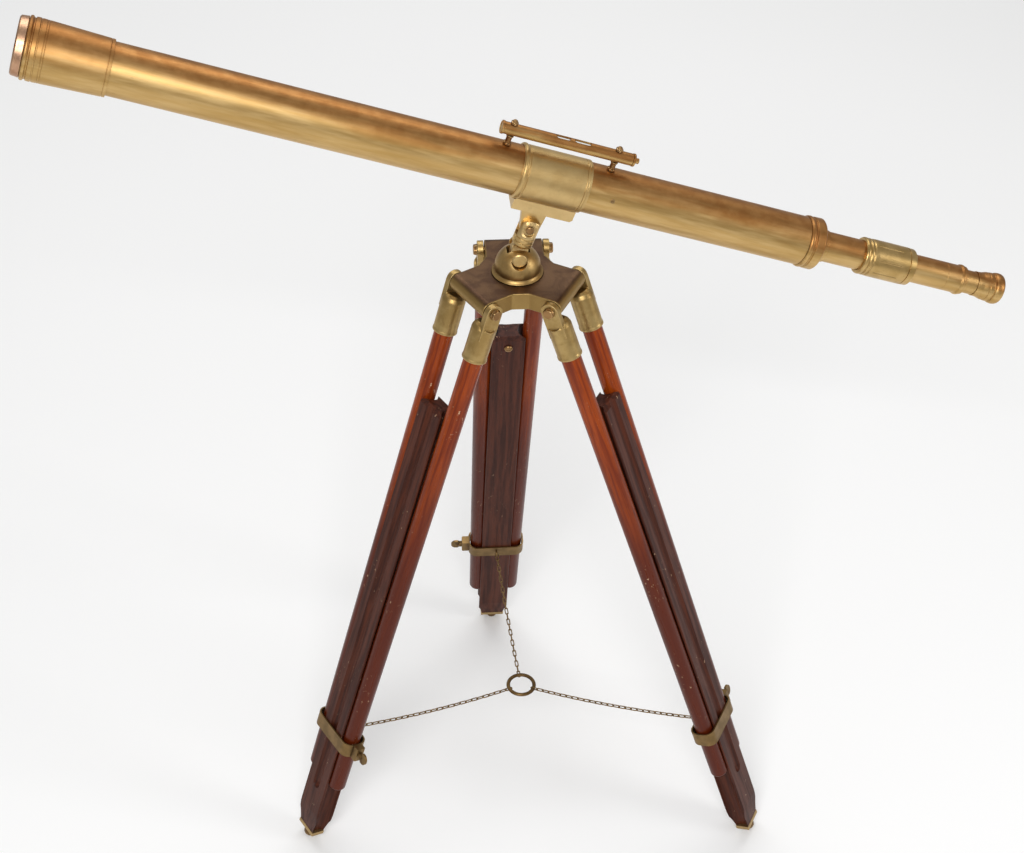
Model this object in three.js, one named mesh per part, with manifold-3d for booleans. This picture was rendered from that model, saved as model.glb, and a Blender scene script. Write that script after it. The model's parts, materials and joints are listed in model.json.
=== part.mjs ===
// A brass refracting telescope on a folding wooden tripod.
// Millimetres, +Z up. The origin is on the floor, under the middle of the object's bounding box.
import * as THREE from "three";
import { mergeVertices } from "three/addons/utils/BufferGeometryUtils.js";
import Module from "manifold-3d";

const wasm = await Module();
wasm.setup();

// ---------------------------------------------------------------- driving dimensions

const GAP = 0.3; // clearance left between touching pieces

// Tripod: three legs on one casting, each of two round rods with a sliding blade between them.
const AXIS_X = -30.4; // the tripod's vertical axis
const AXIS_Y = -18.6;
const HINGE_HEIGHT = 911;
const HINGE_RADIUS = 67;
const LEGS = {
  // bearing is in degrees round from +X, splay in degrees from upright, strapAt in mm down the leg
  back: { bearing: 90, splay: 12, strapAt: 706 },
  left: { bearing: 210, splay: 17.9, strapAt: 745 },
  right: { bearing: 330, splay: 21.4, strapAt: 750 },
};

const ROD_RADIUS = 13.4;
const ROD_SPREAD = 35.4; // half the distance between a leg's rods, level with the hinge
const ROD_LEAN = 0.01; // how fast each rod closes in towards the foot, in radians
const ROD_END = 832; // down the leg from the hinge
const SOCKET_RADIUS = 16.7;
const SOCKET_TOP = 17;
const SOCKET_END = 73;
const SOCKET_WEB = 9;

const BLADE_TOP = 168;
const BLADE_WIDTH = 47;
const BLADE_DEPTH = 32;
const FOOT_ROOM = 21.2; // from the blade's end to the floor, along the leg
const STRAP_HEIGHT = 22;
const STRAP_THICKNESS = 2.2;
const NUB_RADIUS = 9;
const NUB_FLAT_RADIUS = 4; // the flat that the foot stands on

const LOBE_HALF_WIDTH = 38;
const LOBE_THICKNESS = 25;
const WEB_RADIUS = 50; // flats between the lobes, from the axis
const BOLT_RADIUS = 4;
const EAR_INNER = 39.3;
const EAR_OUTER = 47.5;
const STUD_RADIUS = 6;

const RING_AT = [22, -40, 160]; // the chains' ring, from the tripod's axis and the floor
const RING_RADIUS = 20;
const RING_WIRE = 2.9;
const CHAIN_RADIUS = 2.4;
const CHAIN_SAG = 7;

// Swivelling dome, tilting pillar and the telescope on it.
const SWIVEL = THREE.MathUtils.degToRad(0.5);
const TILT = THREE.MathUtils.degToRad(18);
const DOME_BASE = HINGE_HEIGHT + LOBE_THICKNESS / 2 + GAP;
const DOME_RIM_RADIUS = 33.5;
const DOME_RIM_HEIGHT = 4;
const DOME_RADIUS = 30;
const DOME_CENTRE = DOME_BASE + DOME_RIM_HEIGHT + 4;
const TILT_PIVOT = HINGE_HEIGHT + 43; // height of the lower pivot
const PILLAR_RADIUS = 14;
const PILLAR_LENGTH = 42; // from the lower to the upper pivot
const SCOPE_OFFSET = 74; // from the upper pivot to the telescope's axis
const SCOPE_SHIFT = -5; // along the telescope, from the upper pivot to the telescope's own zero
const PILLAR_TONGUE = 14; // thickness of the pillar's lower tongue
const SADDLE_TONGUE = 11.4; // thickness of the saddle's tongue
const PIN_SEAT = 19.5; // from the middle plane to the seat of the lower pin's heads
const PIN_HEAD_RADIUS = 10;
const RECESS_FACE = 11; // from the middle plane to the seat of the upper screw's heads
const SCREW_RADIUS = 3.5;

const TUBE_RADIUS = 31.75;
const TUBE_BORE = 29.75;
const TUBE_FRONT = -560; // distances along the telescope, from its zero near the pivot
const TUBE_REAR = 353.5;
const HOOD_FRONT = -634.4;
const HOOD_REAR = -537.3;
const CAP_FRONT = -645.6;
const SLEEVE_FRONT = -38.3;
const SLEEVE_REAR = 50.9;
const SLEEVE_RADIUS = 34;
const FLANGE_REAR = 375.2;
const COLLAR_REAR = 386.8;
const GRIP_FRONT = 438;
const GRIP_REAR = 512;
const DRAW_FRONT = 232;
const DRAW_RADIUS = 19.8;
const DRAW_BORE = 18.9;
const SECOND_RADIUS = 18.6;
const SECOND_BORE = 16.6;
const SECOND_REAR = 592;
const EYE_TUBE_REAR = 609.5;
const EYECUP_REAR = 648.8;

const LEVEL_HEIGHT = 53; // spirit level's axis above the telescope's axis
const LEVEL_SHIFT = -15; // along the telescope, to the zero of the level's own stations
const LEVEL_RADIUS = 7.7;
const LEVEL_BORE = 5.6;
const LEVEL_FRONT = -58;
const LEVEL_REAR = 110;
const LEVEL_POSTS = { front: -47, rear: 90 };

const FINE = 32; // facets round a large turned piece
const MIDDLE = 24;
const COARSE = 16;

// ---------------------------------------------------------------- materials

const metal = (color, roughness) => ({ color, roughness, metalness: 1 });
const AGED_BRASS = metal(0x8a6a32, 0.35);
const SATIN_BRASS = metal(0xb8935a, 0.45);
const COPPER = metal(0xa9765c, 0.45);
const BRONZE = metal(0x4a3826, 0.5);
const RED_WOOD = { color: 0x8c3a18, roughness: 0.3, metalness: 0 };
const DARK_WOOD = { color: 0x4a2a18, roughness: 0.45, metalness: 0 };
const GLASS = { color: 0xdfe8e6, roughness: 0.05, metalness: 0 };

// ---------------------------------------------------------------- helpers

function solid(geometry) {
  const bare = geometry.index ? geometry.toNonIndexed() : geometry.clone();
  bare.deleteAttribute("normal");
  bare.deleteAttribute("uv");
  const merged = mergeVertices(bare, 1e-4);
  const mesh = new wasm.Mesh({
    numProp: 3,
    vertProperties: new Float32Array(merged.attributes.position.array),
    triVerts: new Uint32Array(merged.index.array),
  });
  return new wasm.Manifold(mesh);
}

function geometryOf(body) {
  const mesh = body.getMesh();
  const geometry = new THREE.BufferGeometry();
  geometry.setAttribute("position", new THREE.BufferAttribute(mesh.vertProperties, 3));
  geometry.setIndex(new THREE.BufferAttribute(mesh.triVerts, 1));
  geometry.computeVertexNormals();
  return geometry;
}

const cut = (body, ...tools) => tools.reduce((left, tool) => left.subtract(tool), body);
const join = (body, ...others) => others.reduce((left, other) => left.add(other), body);

function piece(group, name, shape, look) {
  const geometry = shape.isBufferGeometry ? shape : geometryOf(shape);
  const mesh = new THREE.Mesh(geometry, new THREE.MeshStandardMaterial(look));
  mesh.name = name;
  group.add(mesh);
  return mesh;
}

function groupAt(parent, x, y, z) {
  const group = new THREE.Group();
  group.position.set(x, y, z);
  parent.add(group);
  return group;
}

// A profile of [along, radius] points, turned about the X axis.
function turned(profile, facets = FINE) {
  const points = profile.map(([along, radius]) => new THREE.Vector2(radius, along));
  const closed = points[0].x > 0;
  if (THREE.ShapeUtils.area(points) < 0) points.reverse();
  if (closed) points.push(points[0].clone());
  return new THREE.LatheGeometry(points, facets).rotateZ(-Math.PI / 2);
}

// The same, turned about the Z axis: [height, radius].
const turnedUp = (profile, facets = FINE) => turned(profile, facets).rotateY(-Math.PI / 2);

const rod = (from, to, radius, facets = COARSE) =>
  turned([[from, 0], [from, radius], [to, radius], [to, 0]], facets);
const rodUp = (from, to, radius, facets = COARSE) => rod(from, to, radius, facets).rotateY(-Math.PI / 2);
const rodAcross = (from, to, radius, facets = COARSE) => rod(from, to, radius, facets).rotateZ(Math.PI / 2);

const pipe = (from, to, bore, radius, facets = FINE) =>
  turned([[from, bore], [from, radius], [to, radius], [to, bore]], facets);

function block(x0, x1, y0, y1, z0, z1) {
  const geometry = new THREE.BoxGeometry(x1 - x0, y1 - y0, z1 - z0);
  return geometry.translate((x0 + x1) / 2, (y0 + y1) / 2, (z0 + z1) / 2);
}

// A flat outline extruded up Z from one height to another.
function plate(shape, from, to, curveSegments = 12) {
  const depth = to - from;
  const geometry = new THREE.ExtrudeGeometry(shape, { depth, bevelEnabled: false, curveSegments });
  return geometry.translate(0, 0, from);
}

// An outline drawn in the YZ plane, extruded along X.
const slabAcross = (shape, from, to, curveSegments = 12) =>
  plate(shape, from, to, curveSegments).rotateZ(Math.PI / 2).rotateY(Math.PI / 2);

function outline(points) {
  return new THREE.Shape(points.map(([x, y]) => new THREE.Vector2(x, y)));
}

// ---------------------------------------------------------------- tripod head

// Top view of the casting: three square-ended lobes with a flat between each two.
function castingOutline() {
  const points = [];
  const flatHalf = (WEB_RADIUS * Math.sin(Math.PI / 3) - LOBE_HALF_WIDTH) / Math.cos(Math.PI / 3);
  for (const { bearing } of Object.values(LEGS)) {
    const along = THREE.MathUtils.degToRad(bearing);
    const place = (out, side) => [
      out * Math.cos(along) - side * Math.sin(along),
      out * Math.sin(along) + side * Math.cos(along),
    ];
    const across = along + Math.PI / 3;
    points.push(place(HINGE_RADIUS, -LOBE_HALF_WIDTH), place(HINGE_RADIUS, LOBE_HALF_WIDTH));
    for (const side of [-flatHalf, flatHalf])
      points.push([
        WEB_RADIUS * Math.cos(across) - side * Math.sin(across),
        WEB_RADIUS * Math.sin(across) + side * Math.cos(across),
      ]);
  }
  return outline(points);
}

function headCasting(tripod) {
  const half = LOBE_THICKNESS / 2;
  let body = solid(plate(castingOutline(), HINGE_HEIGHT - half, HINGE_HEIGHT + half));
  for (const { bearing } of Object.values(LEGS)) {
    const turn = THREE.MathUtils.degToRad(bearing - 90);
    const place = (geometry) => solid(geometry.translate(0, HINGE_RADIUS, HINGE_HEIGHT).rotateZ(turn));
    body = join(body, place(rod(-LOBE_HALF_WIDTH, LOBE_HALF_WIDTH, half, MIDDLE)));
    body = cut(body, place(rod(-60, 60, BOLT_RADIUS + GAP)));
  }
  body = cut(body, solid(rodUp(HINGE_HEIGHT - 30, HINGE_HEIGHT + 30, STUD_RADIUS + GAP)));
  piece(tripod, "head_casting", body, BRONZE);
}

// A bolt along X with the same round head at both ends, seated at -seat and +seat.
function doubleHeaded(seat, shankRadius, headRadius, headHeight, facets = COARSE) {
  const left = [
    [-seat - headHeight, 0],
    [-seat - headHeight, headRadius - 1.5],
    [-seat - headHeight + 1, headRadius],
    [-seat, headRadius],
    [-seat, shankRadius],
  ];
  const right = left.map(([along, radius]) => [-along, radius]).reverse();
  return turned([...left, ...right], facets);
}

function hingeBolt(hinge, leg) {
  piece(hinge, `hinge_bolt_${leg}`, doubleHeaded(EAR_OUTER + GAP, BOLT_RADIUS, 8, 5), SATIN_BRASS);
}

// ---------------------------------------------------------------- legs

// A cup for the rod's top with a flat ear on its outer side, round the hinge bolt.
function socket(side, outward) {
  const inner = (EAR_INNER - ROD_SPREAD) * outward;
  const outer = (EAR_OUTER - ROD_SPREAD) * outward;
  const cup = [
    [-SOCKET_END, 0],
    [-SOCKET_END, SOCKET_RADIUS],
    [-SOCKET_TOP - 6, SOCKET_RADIUS],
    [-SOCKET_TOP, SOCKET_RADIUS - 6],
    [-SOCKET_TOP, 0],
  ];
  const ear = new THREE.Shape();
  ear.moveTo(-12, -SOCKET_TOP - 22);
  ear.lineTo(12, -SOCKET_TOP - 22);
  ear.lineTo(12, 0);
  ear.absarc(0, 0, 12, 0, Math.PI);
  const [from, to] = inner < outer ? [inner, outer] : [outer, inner];
  let body = join(solid(turnedUp(cup, MIDDLE)), solid(slabAcross(ear, from, to, 6)));
  const bore = rodUp(-SOCKET_END - 1, -SOCKET_TOP - SOCKET_WEB, ROD_RADIUS + GAP, MIDDLE);
  body = cut(body, solid(bore), solid(rod(from - 1, to + 1, BOLT_RADIUS + 2 * GAP)));
  return body;
}

// The blade's cross-section: a rectangle with a round groove in each side for the rods.
function bladeSection() {
  const spreadAtEnd = ROD_SPREAD - ROD_END * Math.tan(ROD_LEAN);
  const groove = ROD_RADIUS + 0.4;
  const x = BLADE_WIDTH / 2;
  const y = BLADE_DEPTH / 2;
  const lip = Math.asin((spreadAtEnd - x) / groove);
  const shape = new THREE.Shape();
  shape.moveTo(-x, -y);
  shape.lineTo(x, -y);
  shape.absarc(spreadAtEnd, 0, groove, -Math.PI / 2 - lip, Math.PI / 2 + lip, true);
  shape.lineTo(x, y);
  shape.lineTo(-x, y);
  shape.absarc(-spreadAtEnd, 0, groove, Math.PI / 2 - lip, -Math.PI / 2 + lip, true);
  return shape;
}

function blade(splayed, leg, bladeEnd) {
  const y = BLADE_DEPTH / 2;
  const profile = outline([
    [-y + 5, -BLADE_TOP],
    [-y, -BLADE_TOP - 5],
    [-y, -bladeEnd + 42],
    [-10, -bladeEnd],
    [10, -bladeEnd],
    [y, -bladeEnd + 42],
    [y, -BLADE_TOP - 5],
    [y - 5, -BLADE_TOP],
  ]);
  const bar = solid(plate(bladeSection(), -bladeEnd, -BLADE_TOP, 8));
  const side = solid(slabAcross(profile, -BLADE_WIDTH, BLADE_WIDTH));
  const hole = solid(rodAcross(-y - 1, -y + 12, 2.5 + GAP, 16).translate(0, 0, -BLADE_TOP - 20));
  piece(splayed, `leg_blade_${leg}`, cut(bar.intersect(side), hole), DARK_WOOD);
}

function stopScrew(splayed, leg) {
  const face = -BLADE_DEPTH / 2 - GAP;
  const head = [[face - 3.2, 0], [face - 3.2, 4], [face - 2, 6], [face, 6], [face, 2.5]];
  const profile = [...head, [face + 11, 2.5], [face + 11, 0]];
  const screw = turned(profile, COARSE).rotateZ(Math.PI / 2).translate(0, 0, -BLADE_TOP - 20);
  piece(splayed, `stop_screw_${leg}`, screw, SATIN_BRASS);
}

function roundedRectangle(halfX, halfY, radius) {
  const shape = new THREE.Shape();
  shape.absarc(halfX - radius, halfY - radius, radius, 0, Math.PI / 2);
  shape.absarc(-halfX + radius, halfY - radius, radius, Math.PI / 2, Math.PI);
  shape.absarc(-halfX + radius, -halfY + radius, radius, Math.PI, 1.5 * Math.PI);
  shape.absarc(halfX - radius, -halfY + radius, radius, 1.5 * Math.PI, 2 * Math.PI);
  return shape;
}

// Inside of the strap that binds the rods and the blade.
const strapHalfX = (strapAt) => ROD_SPREAD - strapAt * Math.tan(ROD_LEAN) + ROD_RADIUS + 0.5;
const strapHalfY = BLADE_DEPTH / 2 + 0.4;
const LUG_LENGTH = 13;
const EYE_RADIUS = 3.6;
const EYE_WIRE = 1.3;
const eyeOut = strapHalfY + STRAP_THICKNESS + EYE_RADIUS;

function strap(splayed, leg, strapAt) {
  const z0 = -strapAt - STRAP_HEIGHT / 2;
  const z1 = z0 + STRAP_HEIGHT;
  const halfX = strapHalfX(strapAt);
  const band = roundedRectangle(halfX + STRAP_THICKNESS, strapHalfY + STRAP_THICKNESS, 11 + STRAP_THICKNESS);
  const inside = solid(plate(roundedRectangle(halfX, strapHalfY, 11), z0 - 1, z1 + 1, 4));
  const lug = solid(block(-halfX - LUG_LENGTH, -halfX - 1, -7, 7, z0, z1));
  const eye = new THREE.TorusGeometry(EYE_RADIUS, EYE_WIRE, 6, 10).rotateY(Math.PI / 2);
  let body = join(solid(plate(band, z0, z1, 4)), lug);
  body = cut(body, inside, solid(rod(-halfX - LUG_LENGTH - 1, 0, 3 + GAP).translate(0, 0, -strapAt)));
  body = join(body, solid(eye.translate(0, -eyeOut, -strapAt)));
  piece(splayed, `strap_${leg}`, body, BRONZE);
}

// A screw through the strap's lug with a flat wing on its end.
function thumbScrew(splayed, leg, strapAt) {
  const tip = -strapHalfX(strapAt) + 0.15;
  const collar = -strapHalfX(strapAt) - LUG_LENGTH - GAP;
  const stem = [[tip, 0], [tip, 3], [collar, 3], [collar, 5], [collar - 4, 5], [collar - 6, 3], [collar - 6, 0]];
  const shank = turned(stem, COARSE);
  const wing = outline([[-9, -2], [-9, 4], [-5, 9], [5, 9], [9, 4], [9, -2], [4, -6], [-4, -6]]);
  const leaf = plate(wing, -1.6, 1.6).rotateX(Math.PI / 2).rotateY(-Math.PI / 2).rotateX(Math.PI / 2);
  const body = join(solid(shank), solid(leaf.translate(collar - 10, 0, 0)));
  piece(splayed, `thumb_screw_${leg}`, geometryOf(body).translate(0, 0, -strapAt), BRONZE);
}

function foot(splayed, leg, bladeEnd, splay) {
  const shoeTop = -bladeEnd - GAP;
  const shoe = solid(block(-19, 19, -10.5, 10.5, shoeTop - 6, shoeTop));
  const centreHeight = Math.sqrt(NUB_RADIUS ** 2 - NUB_FLAT_RADIUS ** 2);
  const centre = -(HINGE_HEIGHT - centreHeight) / Math.cos(splay);
  const neck = shoeTop - 5;
  const profile = [[neck, 0], [neck, NUB_RADIUS]];
  for (let step = 0; step <= 4; step++) {
    const angle = (step / 4) * (Math.PI / 2);
    profile.push([centre - NUB_RADIUS * Math.sin(angle), step === 4 ? 0 : NUB_RADIUS * Math.cos(angle)]);
  }
  const floorAt = -HINGE_HEIGHT / Math.cos(splay);
  const ground = block(-30, 30, -30, 30, -40, 0).rotateX(-splay).translate(0, 0, floorAt);
  const nub = cut(solid(turnedUp(profile, COARSE)), solid(ground));
  piece(splayed, `foot_${leg}`, join(shoe, nub), SATIN_BRASS);
}

function legAssembly(tripod, leg, { bearing, splay: splayDegrees, strapAt }) {
  const splay = THREE.MathUtils.degToRad(splayDegrees);
  const bladeEnd = HINGE_HEIGHT / Math.cos(splay) - FOOT_ROOM;
  const turnedLeg = groupAt(tripod, 0, 0, HINGE_HEIGHT);
  turnedLeg.rotation.z = THREE.MathUtils.degToRad(bearing - 90);
  const hinge = groupAt(turnedLeg, 0, HINGE_RADIUS, 0);
  hingeBolt(hinge, leg);
  const splayed = groupAt(hinge, 0, 0, 0);
  splayed.rotation.x = splay;
  for (const [side, outward] of [["a", 1], ["b", -1]]) {
    const line = groupAt(splayed, ROD_SPREAD * outward, 0, 0);
    line.rotation.y = ROD_LEAN * outward;
    piece(line, `socket_${leg}_${side}`, socket(side, outward), SATIN_BRASS);
    const top = -SOCKET_TOP - SOCKET_WEB - GAP;
    piece(line, `rod_${leg}_${side}`, rodUp(-ROD_END, top, ROD_RADIUS, MIDDLE), RED_WOOD);
  }
  blade(splayed, leg, bladeEnd);
  stopScrew(splayed, leg);
  strap(splayed, leg, strapAt);
  thumbScrew(splayed, leg, strapAt);
  foot(splayed, leg, bladeEnd, splay);
}

// ---------------------------------------------------------------- chains

function chainRing(tripod) {
  const ring = new THREE.TorusGeometry(RING_RADIUS, RING_WIRE, 8, 20);
  piece(tripod, "chain_ring", ring.translate(...RING_AT), BRONZE);
}

// A chain hangs from the strap's eye to the ring; its solid is a thin tube along that route.
function chain(tripod, leg, { bearing, splay: splayDegrees, strapAt }) {
  const splay = THREE.MathUtils.degToRad(splayDegrees);
  const turn = THREE.MathUtils.degToRad(bearing);
  const eyeRadius = HINGE_RADIUS - eyeOut * Math.cos(splay) + strapAt * Math.sin(splay);
  const eyeHeight = HINGE_HEIGHT - eyeOut * Math.sin(splay) - strapAt * Math.cos(splay);
  const eye = new THREE.Vector3(eyeRadius * Math.cos(turn), eyeRadius * Math.sin(turn), eyeHeight);
  const ring = new THREE.Vector3(...RING_AT);
  const inward = ring.clone().sub(eye).setZ(0).normalize();
  const from = eye.addScaledVector(inward, EYE_RADIUS + EYE_WIRE + GAP);
  const to = ring.addScaledVector(inward, -RING_RADIUS - RING_WIRE - GAP);
  const points = [];
  for (let step = 0; step <= 6; step++) {
    const along = step / 6;
    const sag = CHAIN_SAG * 4 * along * (1 - along);
    points.push(from.clone().lerp(to, along).sub(new THREE.Vector3(0, 0, sag)));
  }
  const section = new THREE.Shape();
  section.absarc(0, 0, CHAIN_RADIUS, 0, 2 * Math.PI);
  const extrudePath = new THREE.CatmullRomCurve3(points);
  const tube = new THREE.ExtrudeGeometry(section, { steps: 12, curveSegments: 3, extrudePath, bevelEnabled: false });
  piece(tripod, `chain_${leg}`, tube, BRONZE);
}

// ---------------------------------------------------------------- dome and pillar

function dome(swivel) {
  const profile = [[DOME_BASE, 0], [DOME_BASE, DOME_RIM_RADIUS]];
  profile.push([DOME_BASE + DOME_RIM_HEIGHT - 2, DOME_RIM_RADIUS], [DOME_BASE + DOME_RIM_HEIGHT, DOME_RIM_RADIUS - 2]);
  for (let step = 0; step <= 8; step++) {
    const angle = THREE.MathUtils.lerp(0.02, 1, step / 8) * (Math.PI / 2);
    profile.push([DOME_CENTRE + DOME_RADIUS * Math.sin(angle), step === 8 ? 0 : DOME_RADIUS * Math.cos(angle)]);
  }
  const slot = block(-40, 40, -PILLAR_TONGUE / 2 - GAP, PILLAR_TONGUE / 2 + GAP, TILT_PIVOT - 12, TILT_PIVOT + 40);
  const bore = rodAcross(-40, 40, BOLT_RADIUS + GAP).translate(0, 0, TILT_PIVOT);
  const front = rodAcross(-40, -PIN_SEAT, PIN_HEAD_RADIUS + 0.8).translate(0, 0, TILT_PIVOT);
  const back = rodAcross(PIN_SEAT, 40, PIN_HEAD_RADIUS + 0.8).translate(0, 0, TILT_PIVOT);
  const body = cut(solid(turnedUp(profile)), solid(slot), solid(bore), solid(front), solid(back));
  piece(swivel, "swivel_dome", body, SATIN_BRASS);
}

// The stud that the dome turns on, with its round nut under the casting.
function swivelStud(swivel) {
  const nut = HINGE_HEIGHT - LOBE_THICKNESS / 2 - GAP;
  const profile = [
    [nut - 17, 0],
    [nut - 17, STUD_RADIUS],
    [nut - 13, STUD_RADIUS],
    [nut - 13, 13],
    [nut - 11, 15],
    [nut, 15],
    [nut, STUD_RADIUS],
    [DOME_BASE - GAP, STUD_RADIUS],
    [DOME_BASE - GAP, 0],
  ];
  piece(swivel, "swivel_stud", turnedUp(profile, MIDDLE), BRONZE);
}

// The pin that the pillar tilts on, with wide flat heads in the dome's two seats.
function tiltPin(swivel) {
  const pin = doubleHeaded(PIN_SEAT + GAP, BOLT_RADIUS, PIN_HEAD_RADIUS, 3, MIDDLE).rotateZ(Math.PI / 2);
  piece(swivel, "tilt_pin", pin.translate(0, 0, TILT_PIVOT), SATIN_BRASS);
}

// A turned pillar: a flat tongue below in the dome's slot, a clevis above for the saddle's tongue.
function pillar(tilted) {
  const shoulder = 12;
  const top = PILLAR_LENGTH + PILLAR_RADIUS + 0.5;
  const profile = [
    [shoulder, 0],
    [shoulder, PILLAR_RADIUS - 4],
    [shoulder + 4, PILLAR_RADIUS],
    [top, PILLAR_RADIUS],
    [top, 0],
  ];
  const crown = new THREE.Shape();
  crown.moveTo(-20, 0);
  crown.lineTo(20, 0);
  crown.lineTo(20, PILLAR_LENGTH);
  crown.lineTo(PILLAR_RADIUS + 0.5, PILLAR_LENGTH);
  crown.absarc(0, PILLAR_LENGTH, PILLAR_RADIUS + 0.5, 0, Math.PI);
  crown.lineTo(-20, PILLAR_LENGTH);
  const rounding = plate(crown, -20, 20, 8).rotateX(Math.PI / 2);
  const tongue = new THREE.Shape();
  tongue.moveTo(-11, 0);
  tongue.absarc(0, 0, 11, Math.PI, 2 * Math.PI);
  tongue.lineTo(9.5, shoulder + 3);
  tongue.lineTo(-9.5, shoulder + 3);
  const half = PILLAR_TONGUE / 2;
  const foot = plate(tongue, -half, half, 8).rotateX(Math.PI / 2);
  const slotHalf = SADDLE_TONGUE / 2 + GAP;
  const slot = block(-20, 20, -slotHalf, slotHalf, PILLAR_LENGTH - 14, top + 1);
  let body = join(solid(turnedUp(profile, MIDDLE)).intersect(solid(rounding)), solid(foot));
  body = cut(body, solid(slot), solid(rodAcross(-20, 20, BOLT_RADIUS + GAP)));
  for (const [from, to, radius] of [[-20, 20, SCREW_RADIUS + GAP], [-20, -RECESS_FACE, 9], [RECESS_FACE, 20, 9]])
    body = cut(body, solid(rodAcross(from, to, radius).translate(0, 0, PILLAR_LENGTH)));
  piece(tilted, "pillar", body, SATIN_BRASS);
}

function altitudeScrew(tilted) {
  const screw = doubleHeaded(RECESS_FACE + GAP, SCREW_RADIUS, 5.8, 3).rotateZ(Math.PI / 2);
  piece(tilted, "altitude_screw", screw.translate(0, 0, PILLAR_LENGTH), SATIN_BRASS);
}

// ---------------------------------------------------------------- telescope

const sleeveProfile = [
  [SLEEVE_FRONT, TUBE_RADIUS + GAP],
  [SLEEVE_FRONT, SLEEVE_RADIUS],
  [SLEEVE_FRONT + 1, SLEEVE_RADIUS + 1.4],
  [SLEEVE_FRONT + 7, SLEEVE_RADIUS + 1.4],
  [SLEEVE_FRONT + 8, SLEEVE_RADIUS],
  [SLEEVE_REAR, SLEEVE_RADIUS],
  [SLEEVE_REAR, TUBE_RADIUS + GAP],
];

// The saddle hugs the sleeve from below; its tongue drops into the pillar's clevis.
function saddle(scope) {
  const bed = block(-31, 50, -16, 16, -46, -27);
  const pivot = -SCOPE_SHIFT;
  const tongue = new THREE.Shape();
  tongue.moveTo(pivot - 20, -45);
  tongue.lineTo(pivot - 12.5, -SCOPE_OFFSET);
  tongue.absarc(pivot, -SCOPE_OFFSET, 12.5, Math.PI, 2 * Math.PI);
  tongue.lineTo(pivot + 15, -45);
  const half = SADDLE_TONGUE / 2;
  const drop = plate(tongue, -half, half, 8).rotateX(Math.PI / 2);
  const sleeveRoom = turned([
    [-60, 0],
    [-60, TUBE_RADIUS + GAP],
    [SLEEVE_FRONT - GAP, TUBE_RADIUS + GAP],
    [SLEEVE_FRONT - GAP, SLEEVE_RADIUS + 1.4 + GAP],
    [SLEEVE_FRONT + 8 + GAP, SLEEVE_RADIUS + 1.4 + GAP],
    [SLEEVE_FRONT + 8 + GAP, SLEEVE_RADIUS + GAP],
    [60, SLEEVE_RADIUS + GAP],
    [60, 0],
  ]);
  const hole = rodAcross(-20, 20, SCREW_RADIUS + GAP).translate(pivot, 0, -SCOPE_OFFSET);
  const body = cut(join(solid(bed), solid(drop)), solid(sleeveRoom), solid(hole));
  piece(scope, "saddle", body, AGED_BRASS);
}

function objectiveEnd(scope) {
  const cap = [
    [CAP_FRONT, 0],
    [CAP_FRONT, 33],
    [CAP_FRONT + 2, 35.4],
    [HOOD_FRONT - GAP - 1.5, 36],
    [HOOD_FRONT - GAP, 35],
    [HOOD_FRONT - GAP, 33.6],
    [HOOD_FRONT + 20, 33.6],
    [HOOD_FRONT + 20, 31.6],
    [CAP_FRONT + 4, 31.6],
    [CAP_FRONT + 4, 0],
  ];
  piece(scope, "lens_cap", turned(cap), COPPER);
  const hood = [
    [HOOD_FRONT, 34],
    [HOOD_FRONT, 36.5],
    [HOOD_FRONT + 2, 37.7],
    [HOOD_FRONT + 12, 37.4],
    [HOOD_FRONT + 14, 36.2],
    [HOOD_REAR, 33.8],
    [HOOD_REAR, TUBE_RADIUS + GAP],
    [TUBE_FRONT - GAP, TUBE_RADIUS + GAP],
    [TUBE_FRONT - GAP, 28],
    [TUBE_FRONT - 2, 28],
    [TUBE_FRONT - 2, 29.2],
    [TUBE_FRONT - 10, 29.2],
    [TUBE_FRONT - 11, 34],
  ];
  piece(scope, "dew_hood", turned(hood), SATIN_BRASS);
  piece(scope, "objective_lens", lens(TUBE_FRONT - 9.5, TUBE_FRONT - 2.3, 28.8, 1.5), GLASS);
}

// A round lens with both faces bulging.
function lens(front, back, radius, bulge) {
  const profile = [[front, 0]];
  profile.push([front + bulge, radius], [back - bulge, radius], [back, 0]);
  return turned(profile, MIDDLE);
}

function tubes(scope) {
  piece(scope, "main_tube", pipe(TUBE_FRONT, TUBE_REAR - GAP, TUBE_BORE, TUBE_RADIUS), AGED_BRASS);
  piece(scope, "saddle_sleeve", turned(sleeveProfile), SATIN_BRASS);
  const flange = [
    [TUBE_REAR - 18, DRAW_RADIUS + GAP],
    [TUBE_REAR - 18, TUBE_BORE - GAP],
    [TUBE_REAR, TUBE_BORE - GAP],
    [TUBE_REAR, 33],
    [TUBE_REAR + 1.5, 34],
    [FLANGE_REAR - 1.5, 34],
    [FLANGE_REAR, 32.5],
    [FLANGE_REAR, 21.4],
    [COLLAR_REAR, 21.4],
    [COLLAR_REAR, DRAW_RADIUS + GAP],
  ];
  piece(scope, "tail_flange", turned(flange), AGED_BRASS);
}

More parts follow.
